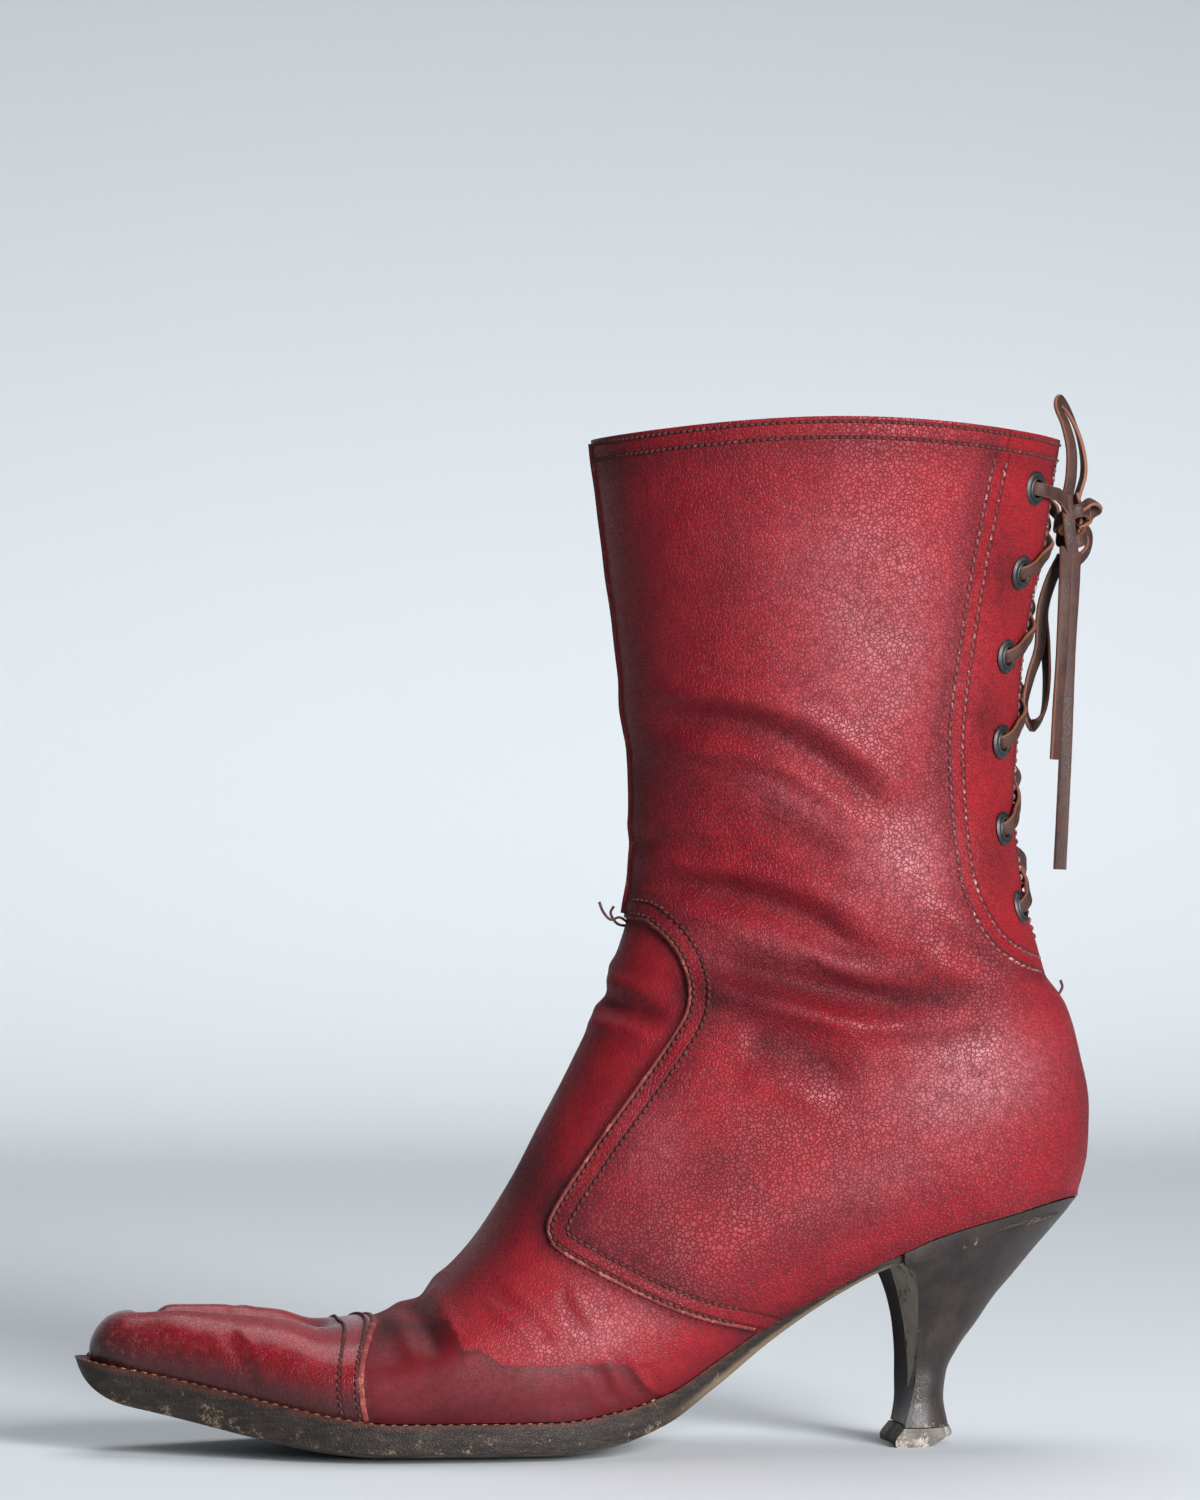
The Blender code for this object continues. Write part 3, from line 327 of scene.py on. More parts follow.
# Creases: shaft folds, ankle folds, instep notch, toe break and the small flex wrinkles
CREASES = table(
    Crease,
    (2.7, 3.6, 1.5, ((11.0, 194.5), (31.3, 196.0), (50.0, 190.9), (66.0, 180.2), (82.0, 167.0)), 0.2, 0.3),
    (0.9, 3.0, 0.5, ((11.0, 161.0), (22.0, 163.0), (36.0, 160.0))),
    (2.3, 3.4, 1.3, ((9.9, 153.7), (31.3, 151.0), (52.7, 145.0), (76.0, 133.0))),
    (0.9, 3.6, 0.5, ((40.0, 172.0), (54.0, 165.0), (66.0, 156.0))),
    (3.3, 3.9, 2.1, ((23.2, 135.1), (52.7, 126.5), (79.4, 121.8), (108.0, 124.5))),
    (1.1, 3.0, 0.6, ((58.0, 138.0), (78.0, 131.0), (96.0, 130.0))),
    (2.0, 5.0, 1.0, ((36.6, 111.2), (52.7, 108.6), (70.0, 98.0))),
    (0.9, 4.0, 0.5, ((76.0, 113.0), (92.0, 112.0), (110.0, 116.0))),
    (2.2, 3.0, 1.2, ((-6.0, 121.5), (0.2, 121.0), (10.0, 119.0), (20.0, 117.0)), 0.02),
    (1.5, 3.0, 0.6, ((-49.0, 46.0), (-48.5, 42.0), (-46.0, 34.0), (-43.0, 27.0)), 0.05),
    (0.5, 1.6, 0.2, ((-3.0, 27.0), (1.0, 19.0), (4.0, 12.5))),
    (0.55, 1.6, 0.2, ((4.0, 28.0), (8.0, 21.0), (12.0, 15.0))),
    (0.45, 1.5, 0.2, ((10.0, 26.0), (14.0, 21.0), (18.0, 17.5))),
    (0.55, 1.7, 0.3, ((-30.0, 46.0), (-19.0, 37.0), (-12.0, 27.0))),
    (0.5, 1.5, 0.3, ((-12.0, 46.0), (-8.0, 38.0), (-2.0, 31.0))),
    (0.55, 1.8, 0.25, ((-98.5, 34.0), (-96.5, 30.0), (-92.0, 22.0), (-90.0, 15.6)), 0.1),
    (0.8, 3.2, 0.3, ((88.0, 141.0), (98.0, 134.0), (112.0, 128.5))),
    (0.6, 5.0, 0.2, ((84.0, 166.0), (88.0, 190.0), (92.0, 216.0))),
    (0.5, 6.0, 0.2, ((58.0, 236.0), (70.0, 226.0), (78.0, 212.0))),
)

# Darker stretches of the leather, mostly painted shade with a few smudges, paler stretches that are painted
# sheen, and the burnish along its seams
# Mostly painted shade in the folds, at the ankle, on the instep, lower vamp and counter's edge; the three by
# the facing's seam are smudges near the eyelets
DARK_PATCHES = table(
    Oval,
    (34.0, 246.0, 6.0, 20.0, 0.0, 0.22), (20.0, 178.0, 12.0, 12.0, 0.0, 0.25),
    (37.0, 122.0, 18.0, 7.0, 0.0, 0.5), (52.0, 106.0, 18.0, 6.0, -0.3, 0.2),
    (92.0, 123.0, 20.0, 5.0, 0.0, 0.45), (10.0, 56.0, 24.0, 10.0, -0.5, 0.4),
    (30.0, 74.0, 20.0, 12.0, 0.2, 0.3), (-20.0, 78.0, 10.0, 26.0, 0.55, 0.5),
    (135.0, 96.0, 7.0, 22.0, 0.0, 0.35), (-38.0, 17.0, 22.0, 9.0, 0.0, 0.35),
    (60.0, 60.0, 28.0, 8.0, 0.45, 0.3), (108.0, 236.0, 6.0, 12.0, 0.0, 0.5),
    (104.0, 196.0, 6.0, 10.0, 0.0, 0.5), (107.0, 160.0, 6.0, 10.0, 0.0, 0.4),
)
# Painted sheen: paler, pinker patches where the key and overhead lights would gleam on the leather
SHEEN_PATCHES = table(
    Oval,
    (15.0, 84.0, 11.0, 15.0, -0.6, 0.25), (72.0, 212.0, 22.0, 26.0, 0.1, 0.4),
    (62.0, 240.0, 24.0, 18.0, 0.0, 0.2), (80.0, 158.0, 16.0, 14.0, -0.3, 0.55),
    (52.0, 174.0, 16.0, 6.0, -0.5, 0.35), (50.0, 134.0, 24.0, 5.0, -0.2, 0.3),
    (98.0, 100.0, 20.0, 12.0, 0.2, 0.9), (74.0, 74.0, 24.0, 9.0, 0.3, 0.25),
    (0.0, 34.0, 16.0, 6.0, 0.5, 0.25),
)
SEAM_SHADES = table(
    Shade,
    ("quarter", 0.0, 3.0, 0.5, True), ("cap", 0.0, 3.0, 0.4, True), ("facing", -2.2, 3.0, 0.35),
    ("collar", 7.5, 4.0, 0.3), ("quarter", 6.5, 3.0, 0.3), ("opening", 0.0, 2.5, 0.4),
)

# Loose thread ends: two at the foot of the front seam, one above the counter, as (x, y, z) points
THREAD_ENDS = [
    [(12.0, -0.8, 141.0), (9.0, -1.4, 143.0), (6.4, -1.8, 142.4), (4.4, -1.4, 144.6), (3.4, -1.0, 147.2)],
    [(12.0, 0.6, 140.6), (8.6, 0.4, 141.2), (6.6, -0.4, 144.0), (7.4, -0.8, 146.0)],
    [(124.0, -0.6, 120.0), (128.4, -0.8, 121.0), (130.4, -0.8, 123.4), (130.0, -0.6, 125.6)],
]

# The knot: bands as (middle, reach, phase), turns between them as (facing, route)
KNOT_BANDS = [
    ((133.0, -0.6, 251.2), (4.2, 5.4, 2.2), 0.9),
    ((133.2, 0.2, 246.4), (3.6, 4.4, 1.8), -1.2),
]
KNOT_TURNS = [
    ((0.3, -1.0, 0.0), [
        (130.6, -5.0, 257.4), (131.0, -6.4, 252.0), (131.6, -6.2, 246.0), (132.6, -5.2, 240.8),
    ]),
    ((0.2, -0.4, 1.0), [
        (133.6, -4.0, 252.6), (137.4, -4.4, 255.6), (139.6, -2.4, 254.6), (138.6, 0.2, 251.4),
        (135.0, 0.6, 249.2),
    ]),
    ((1.0, -0.6, 0.0), [
        (136.0, 0.0, 249.6), (138.4, 1.8, 246.4), (137.8, 2.8, 242.4), (134.6, 2.4, 239.8),
        (131.2, 2.0, 240.8),
    ]),
    ((1.0, 0.3, 0.0), [
        (134.6, 2.6, 258.0), (135.6, 1.8, 252.6), (134.6, 0.8, 247.0), (132.0, 0.0, 241.0),
    ]),
]

# Loops and ends of the lace behind the boot, with routes of (x, y, z) points
CORDS = [
    Cord("bow_loop_up", "lace_loop_up", "knot", (0.55, -1.0, 0.0), (1.0, 0.2, 0.0), [
        (131.4, -3.0, 257.0), (132.2, -4.2, 262.5), (132.2, -4.6, 270.0), (130.6, -4.0, 277.0),
        (128.8, -2.4, 281.6), (130.4, 0.6, 283.2), (133.6, 2.4, 279.0), (136.4, 3.2, 271.6),
        (137.2, 3.2, 264.0), (135.2, 2.6, 257.0),
    ]),
    Cord("bow_loop_down", "lace_loop_down", "knot", (0.9, 0.7, 0.0), (0.5, -1.0, 0.0), [
        (131.0, 2.0, 240.8), (128.0, 3.2, 234.0), (126.0, 3.6, 226.0), (126.6, 3.4, 217.0),
        (126.8, 2.6, 207.0), (125.4, 1.0, 198.0), (121.8, -1.2, 194.8), (119.6, -3.2, 200.0),
        (121.0, -4.0, 208.0), (123.6, -3.4, 216.0), (124.4, -3.0, 226.0), (126.8, -2.6, 234.0),
        (130.4, -1.4, 240.8),
    ]),
    Cord("lace_tail_long", "lace_end_long", "bare", (0.5, -1.0, 0.0), (-0.1, -1.0, 0.0), [
        (133.4, -4.4, 242.2), (132.4, -7.0, 232.0), (131.0, -8.0, 214.0), (130.0, -8.2, 190.0),
        (129.0, -8.0, 168.0), (128.4, -7.8, 155.8),
    ]),
    Cord("lace_tail_short", "lace_end_short", "bare", (0.2, -1.0, 0.0), (0.7, -0.8, 0.0), [
        (130.6, -5.2, 243.2), (129.4, -9.6, 231.0), (128.2, -11.6, 214.0), (127.0, -12.0, 199.0),
        (126.2, -12.0, 185.6),
    ]),
]


# Curves


def smooth(x: Array, xs: Sequence[float], ys: Sequence[float]) -> Array:
    """Monotone cubic through known points; each inner slope is the harmonic mean of its neighbours.

    Args:
        x: where the curve is read.
        xs: rising places of the known points.
        ys: their values.

    Returns:
        The curve's values at x, held constant beyond both ends.
    """
    x, xs, ys = (np.asarray(a, float) for a in (x, xs, ys))
    step = np.diff(xs)
    slope = np.diff(ys) / step
    inner = np.zeros(len(xs))
    inner[0], inner[-1] = slope[0], slope[-1]
    rising = slope[:-1] * slope[1:] > 0
    mean = 2 * slope[:-1] * slope[1:] / np.where(rising, slope[:-1] + slope[1:], 1.0)
    inner[1:-1] = np.where(rising, mean, 0.0)
    i = np.clip(np.searchsorted(xs, x) - 1, 0, len(step) - 1)
    t = np.clip((x - xs[i]) / step[i], 0.0, 1.0)
    return (
        (1 + 2 * t) * (1 - t) ** 2 * ys[i]
        + t * (1 - t) ** 2 * step[i] * inner[i]
        + t**2 * (3 - 2 * t) * ys[i + 1]
        + t**2 * (t - 1) * step[i] * inner[i + 1]
    )


def column(rows: Sequence[NamedTuple], name: str, at: Array) -> Array:
    """One named column of a table, read smoothly at values of its first column."""
    return smooth(at, [row[0] for row in rows], [getattr(row, name) for row in rows])


def step01(x: Array) -> Array:
    """0 below 0, 1 above 1, and the cubic 3t²-2t³ between."""
    t = np.clip(x, 0.0, 1.0)
    return t * t * (3 - 2 * t)


def near(value: Array, at: float, reach: float) -> Array:
    """A bell: 1 where the value is at, falling off as a Gaussian over reach."""
    return np.exp(-(((value - at) / reach) ** 2))


def unit(vectors: Array) -> Array:
    """The same vectors, each one long."""
    return vectors / np.maximum(np.linalg.norm(vectors, axis=-1, keepdims=True), 1e-9)


def ovals(x: Array, z: Array, patches: Sequence[Oval]) -> Array:
    """Sum of soft oval patches, each a Gaussian along its two leaning axes.

    Args:
        x: where to read them.
        z: where to read them.
        patches: the patches.

    Returns:
        Their sum.
    """
    total = np.zeros(x.shape)
    for patch in patches:
        dx, dz = x - patch.x, z - patch.z
        along, up = dx + patch.lean * dz, dz - patch.lean * dx
        total += patch.amount * np.exp(-((along / patch.reach_x) ** 2) - (up / patch.reach_z) ** 2)
    return total


def along_of(points: Array) -> Array:
    """Distance of each point of a line from its start, measured on its first three coordinates."""
    step = np.linalg.norm(np.diff(points[:, :3], axis=0), axis=1)
    return np.concatenate([[0.0], np.cumsum(step)])


def evenly(points: Array, count: int) -> Array:
    """The same line with count points at equal distances; coordinates past the third ride along."""
    along = along_of(points)
    return np.stack([np.interp(np.linspace(0, along[-1], count), along, row) for row in points.T], axis=1)


def curve_through(points: Sequence[Sequence[float]], count: int) -> Array:
    """Evenly spaced points on the Catmull-Rom curve through the given ones.

    Args:
        points: points of the curve, its ends among them.
        count: how many points to give.

    Returns:
        The points, one a row.
    """
    p = np.asarray(points, float)
    p = np.vstack([2 * p[0] - p[1], p, 2 * p[-1] - p[-2]])
    a, b, c, d = (q[:, None] for q in (p[:-3], p[1:-2], p[2:-1], p[3:]))
    t = np.linspace(0, 1, 24, endpoint=False)[None, :, None]
    fine = 0.5 * (2 * b + (c - a) * t + (2 * a - 5 * b + 4 * c - d) * t**2 + (3 * b - a - 3 * c + d) * t**3)
    return evenly(np.vstack([fine.reshape(-1, p.shape[1]), p[-2:-1]]), count)


def beside(seam: Sequence[Point], distance: float, count: int) -> Array:
    """A seam's line moved to its left in the side view.

    Args:
        seam: (x, z) points of the seam.
        distance: how far to move it.
        count: how many points to give.

    Returns:
        (x, z) points.
    """
    line = curve_through(seam, count)
    along = unit(np.gradient(line, axis=0))
    return line + distance * np.stack([-along[:, 1], along[:, 0]], axis=1)


def line_distance(points: Array, line: Array) -> tuple[Array, Array]:
    """Distance of side-view points from the nearest piece of a line, and where along it that is.

    Args:
        points: (x, z) points.
        line: (x, z) points of the line.

    Returns:
        The distance, positive on the line's left, and the share of the line's length.
    """
    start, step = line[:-1], np.diff(line, axis=0)
    length = np.linalg.norm(step, axis=1)
    before = np.concatenate([[0.0], np.cumsum(length)[:-1]])
    found = []
    for part in np.array_split(points, max(1, len(points) // 20000)):
        rel = part[:, None] - start
        t = np.clip((rel * step).sum(2) / length**2, 0.0, 1.0)
        square = ((rel - t[..., None] * step) ** 2).sum(2)
        i, k = square.argmin(1), np.arange(len(part))
        side = step[i, 0] * rel[k, i, 1] - step[i, 1] * rel[k, i, 0]
        share = (before[i] + t[k, i] * length[i]) / length.sum()
        found.append(np.stack([np.sign(side) * np.sqrt(square[k, i]), share], axis=1))
    both = np.vstack(found)
    return both[:, 0], both[:, 1]


# Meshes


@dataclass
class Patch:
    """Points and faces of a mesh, with values kept for its material.

    Attributes:
        points: one row for each point, in millimetres.
        faces: point numbers of each face.
        values: named values, one for each point.
        slots: which material each face takes; all take the first if empty.
    """

    points: Array
    faces: list[list[int]]
    values: dict[str, Array] = field(default_factory=dict)
    slots: list[int] = field(default_factory=list)


def joined(patches: Sequence[Patch]) -> Patch:
    """Several patches as one, their points numbered on.

    Args:
        patches: what to join; the first one's named values are kept for all.

    Returns:
        One patch.
    """
    starts = np.cumsum([0] + [len(p.points) for p in patches])
    faces = [[i + int(s) for i in f] for p, s in zip(patches, starts) for f in p.faces]
    values = {name: np.concatenate([p.values[name] for p in patches]) for name in patches[0].values}
    return Patch(np.vstack([p.points for p in patches]), faces, values)


def numbered(grid: Array) -> Array:
    """Point numbers of a grid of points, row by row."""
    return np.arange(grid.shape[0] * grid.shape[1]).reshape(grid.shape[:2])


def grid_quads(index: Array) -> Array:
    """Four point numbers for each cell of a grid of numbers, turning from rows towards columns."""
    corners = (index[:-1, :-1], index[1:, :-1], index[1:, 1:], index[:-1, 1:])
    return np.stack([c.ravel() for c in corners], axis=1)


def tube_patch(rings: Array, values: dict[str, Array] | None = None) -> Patch:
    """A closed body through a row of rings, flat at both ends, its faces turned outwards.

    Args:
        rings: (count, around, 3) points.
        values: named values for the ring points, in the same layout.

    Returns:
        The body as a patch.
    """
    index = numbered(rings)
    faces = grid_quads(np.hstack([index, index[:, :1]])).tolist()
    faces += [index[0].tolist(), index[-1][::-1].tolist()]
    middle = rings.mean(axis=1, keepdims=True)
    apart = (rings - middle)[:-1]
    turn = np.cross(np.roll(apart, -1, axis=1) - apart, np.diff(middle, axis=0))
    if (turn * apart).sum() > 0:
        faces = [face[::-1] for face in faces]
    return Patch(rings.reshape(-1, 3), faces, {k: v.ravel() for k, v in (values or {}).items()})


def swept(points: Array, across: Array, out: Array, y: Array, z: Array) -> Array:
    """Rings of a profile carried along a line: y goes across it and z out of it."""
    return points[:, None] + across[:, None] * y[None, :, None] + out[:, None] * z[None, :, None]


@dataclass(frozen=True)
class Bench:
    """Makes pieces of patches, with all finishes at hand.

    Attributes:
        finishes: materials by their look.
        sharp_from: angle in degrees from which an edge is shaded sharp.
    """

    finishes: dict[Look, Material]
    sharp_from: float = 48.0

    def piece(self, name: str, patch: Patch, slot: str, *looks: Look, node: str = "") -> bpy.types.Object:
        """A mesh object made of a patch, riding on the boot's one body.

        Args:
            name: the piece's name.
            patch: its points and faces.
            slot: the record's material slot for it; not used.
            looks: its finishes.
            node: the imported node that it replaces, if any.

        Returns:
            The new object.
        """
        mesh = bpy.data.meshes.new(name)
        mesh.from_pydata((patch.points * MM).tolist(), [], patch.faces)
        for look in looks:
            mesh.materials.append(self.finishes[look])
        if patch.slots:
            mesh.polygons.foreach_set("material_index", patch.slots)
        for key, value in patch.values.items():
            attribute = mesh.attributes.new(key, "FLOAT", "POINT")
            attribute.data.foreach_set("value", np.ascontiguousarray(value, np.float32))
        mesh.update()
        mesh.shade_smooth()
        mesh.set_sharp_from_angle(angle=math.radians(self.sharp_from))
        made = bpy.data.objects.new(name, mesh)
        bpy.context.scene.collection.objects.link(made)
        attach(made, BODY)
        if node:
            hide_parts(node)
        LOG.info("%s: %d points, %d faces", name, len(mesh.vertices), len(mesh.polygons))
        return made


# Shader nodes


class Graph:
    """Adds and joins the nodes of one node tree."""

    def __init__(self, tree: bpy.types.NodeTree) -> None:
        """Keeps a material's tree or a group's."""
        self.tree = tree

    def node(self, kind: str, **settings: Any) -> bpy.types.Node:
        """A new node.

        Args:
            kind: Blender's name of the node type.
            settings: attributes to set on it.

        Returns:
            The node.
        """
        made = self.tree.nodes.new(kind)
        for key, value in settings.items():
            setattr(made, key, value)
        return made

    def feed(self, socket: Socket, source: Any) -> None:
        """Links a socket to a source, or sets it to a plain value.

        Args:
            socket: the input.
            source: an output socket, a number, a vector or a colour.
        """
        if isinstance(source, Socket):
            self.tree.links.new(source, socket)
        elif hasattr(source, "__len__") and socket.type == "RGBA":
            socket.default_value = (*source, 1.0)
        else:
            socket.default_value = source

    def math(self, operation: str, *terms: Any) -> Socket:
        """A Math node.

        Args:
            operation: the node's operation.
            terms: one, two or three sockets or numbers.

        Returns:
            Its output.
        """
        made = self.node("ShaderNodeMath", operation=operation)
        for socket, term in zip(made.inputs, terms):
            self.feed(socket, term)
        return made.outputs[0]

    def times(self, first: Any, second: Any) -> Socket:
        """The product of two values."""
        return self.math("MULTIPLY", first, second)

    def add(self, start: Any, *terms: tuple[Any, Any]) -> Socket:
        """A sum.

        Args:
            start: what it starts from.
            terms: pairs of a value and the factor that it counts with.

        Returns:
            The sum.
        """
        for value, factor in terms:
            start = self.math("MULTIPLY_ADD", value, factor, start)
        return start

    def ramp(self, value: Any, low: float, high: float, start: float = 0.0, end: float = 1.0) -> Socket:
        """A value carried smoothly from one range to another, held at both ends.

        Args:
            value: what to carry over.
            low: the value that gives start.
            high: the value that gives end.
            start: the result at low.
            end: the result at high.

        Returns:
            The result.
        """
        made = self.node("ShaderNodeMapRange", interpolation_type="SMOOTHSTEP")
        names = ("Value", "From Min", "From Max", "To Min", "To Max")
        for name, term in zip(names, (value, low, high, start, end)):
            self.feed(made.inputs[name], term)
        return made.outputs[0]

    def coats(self, tone: Any, *coats: tuple[Any, Any]) -> Socket:
        """Colours laid over each other.

        Args:
            tone: the lowest colour.
            coats: pairs of a share and the colour that covers with it.

        Returns:
            The colour on top.
        """
        for share, colour in coats:
            made = self.node("ShaderNodeMix", data_type="RGBA")
            for place, term in ((0, share), (6, tone), (7, colour)):
                self.feed(made.inputs[place], term)
            tone = made.outputs[2]
        return tone

    def attribute(self, name: str) -> Socket:
        """A value that the mesh keeps for each point."""
        return self.node("ShaderNodeAttribute", attribute_name=name).outputs["Fac"]

    def noise(self, vector: Any, scale: float, detail: float, rough: float = 0.55) -> Socket:
        """Soft noise between 0 and 1.

        Args:
            vector: where to read it.
            scale: its frequency.
            detail: how many finer layers it has.
            rough: how strong they are.

        Returns:
            The noise.
        """
        made = self.node("ShaderNodeTexNoise")
        names = ("Vector", "Scale", "Detail", "Roughness")
        for name, term in zip(names, (vector, scale, detail, rough)):
            self.feed(made.inputs[name], term)
        return made.outputs[0]

    def place(self, stretch: Sequence[float] = (1.0, 1.0, 1.0)) -> Socket:
        """The piece's own coordinates in millimetres.

        Args:
            stretch: how much each axis is squeezed.

        Returns:
            The coordinates.
        """
        scaled = self.node("ShaderNodeVectorMath", operation="MULTIPLY")
        self.feed(scaled.inputs[0], self.node("ShaderNodeTexCoord").outputs["Object"])
        scaled.inputs[1].default_value = [s / MM for s in stretch]
        return scaled.outputs[0]

    def group(self, tree: bpy.types.NodeTree, **terms: Any) -> dict[str, Socket]:
        """A shared group placed here with its own values.

        Args:
            tree: the group.
            terms: what its inputs take.

        Returns:
            Its outputs by name.
        """
        made = self.node("ShaderNodeGroup", node_tree=tree)
        for name, term in terms.items():
            self.feed(made.inputs[name], term)
        return {socket.name: socket for socket in made.outputs}


class FinishGraph(Graph):
    """The nodes of a material, with its Principled shader."""

    def __init__(self, look: Look) -> None:
        """Makes the material.

        Args:
            look: whose material it is.
        """
        self.material = bpy.data.materials.new(look.value)
        self.material.use_nodes = True
        super().__init__(self.material.node_tree)
        self.shader = self.tree.nodes["Principled BSDF"]

    def give(self, name: str, source: Any) -> None:
        """Feeds one of the shader's sockets."""
        self.feed(self.shader.inputs[name], source)

    def relief(self, height: Socket, depth: float, strength: float) -> None:
        """Gives the shader relief from a height.

        Args:
            height: the height, 0 to 1.
            depth: what 1 stands for, in millimetres.
            strength: how much of it shows.
        """
        bump = self.node("ShaderNodeBump")
        for name, term in (("Distance", depth * MM), ("Strength", strength), ("Height", height)):
            self.feed(bump.inputs[name], term)
        self.give("Normal", bump.outputs["Normal"])


def new_group(name: str, inputs: Sequence[str], outputs: Sequence[str]) -> tuple[Graph, Any, Any]:
    """An empty node group; its socket Vector holds a vector, all others a number.

    Args:
        name: the group's name.
        inputs: names of its inputs.
        outputs: names of its outputs.

    Returns:
        Its graph, its inputs' outputs and its outputs' inputs.
    """
    tree = bpy.data.node_groups.new(name, "ShaderNodeTree")
    for words, way in ((inputs, "INPUT"), (outputs, "OUTPUT")):
        for word in words:
            kind = "NodeSocketVector" if word == "Vector" else "NodeSocketFloat"
            tree.interface.new_socket(name=word, in_out=way, socket_type=kind)
    graph = Graph(tree)
    return graph, graph.node("NodeGroupInput").outputs, graph.node("NodeGroupOutput").inputs


class SharedEffects:
    """Node groups that more than one finish uses."""

    def __init__(self) -> None:
        """Builds each group once."""
        self.grain = self.pebble_grain()
        self.wear = self.scuff_marks()

    @staticmethod
    def pebble_grain() -> bpy.types.NodeTree:
        """Leather grain: cells with rounded tops, parted by fine cracks.

        The place is first pushed about by a noise, so that the cells are uneven. The height rises
        with the distance from a cell's edge, and the cracks are what lies close to that edge.

        Returns:
            The group, with Vector (in millimetres) and Cell (their size); Height and Cracks.
        """
        graph, given, out = new_group("pebble grain", ("Vector", "Cell"), ("Height", "Cracks"))
        warp = graph.node("ShaderNodeTexNoise")
        graph.feed(warp.inputs["Vector"], given["Vector"])
        graph.feed(warp.inputs["Scale"], 0.55)
        push = graph.node("ShaderNodeVectorMath", operation="MULTIPLY_ADD")
        for socket, term in zip(push.inputs, (warp.outputs["Color"], (1.6, 1.6, 1.6), given["Vector"])):
            graph.feed(socket, term)
        cells = graph.node("ShaderNodeTexVoronoi", feature="DISTANCE_TO_EDGE")
        graph.feed(cells.inputs["Vector"], push.outputs[0])
        graph.feed(cells.inputs["Scale"], graph.math("DIVIDE", 1.0, given["Cell"]))
        edge = cells.outputs["Distance"]
        fine = graph.noise(given["Vector"], 2.2, 2.0)
        graph.feed(out["Height"], graph.add(graph.ramp(edge, 0.0, 0.17), (fine, 0.3)))
        graph.feed(out["Cracks"], graph.ramp(edge, 0.0, 0.10, 1.0, 0.0))
        return graph.tree

    @staticmethod
    def scuff_marks() -> bpy.types.NodeTree:
        """Wear: ragged specks and rubs where a stretched noise, cut by a broad one, passes a threshold.

        Returns:
            The group, with Vector (in millimetres), Size and Amount; Scuff.
        """
        graph, given, out = new_group("scuff marks", ("Vector", "Size", "Amount"), ("Scuff",))
        squeeze = graph.node("ShaderNodeVectorMath", operation="SCALE")
        graph.feed(squeeze.inputs[0], given["Vector"])
        graph.feed(squeeze.inputs["Scale"], graph.math("DIVIDE", 1.0, given["Size"]))
        broad = graph.noise(squeeze.outputs[0], 0.35, 2.0)
        ragged = graph.noise(squeeze.outputs[0], 2.2, 6.0, 0.7)
        threshold = graph.add(0.46, (given["Amount"], -0.3))
        over = graph.math("SUBTRACT", graph.times(broad, ragged), threshold)
        graph.feed(out["Scuff"], graph.ramp(over, 0.0, 0.07))
        return graph.tree


# Finishes


@dataclass(frozen=True)
class Finish:
    """What every finish has.

    Attributes:
        shared: the shared node groups.
        look: whose finish it is.
    """

    shared: SharedEffects
    look: Look

    def scuffs(self, graph: Graph, place: Socket, size: float, amount: Any) -> Socket:
        """The shared scuffs, 0 to 1."""
        return graph.group(self.shared.wear, Vector=place, Size=size, Amount=amount)["Scuff"]


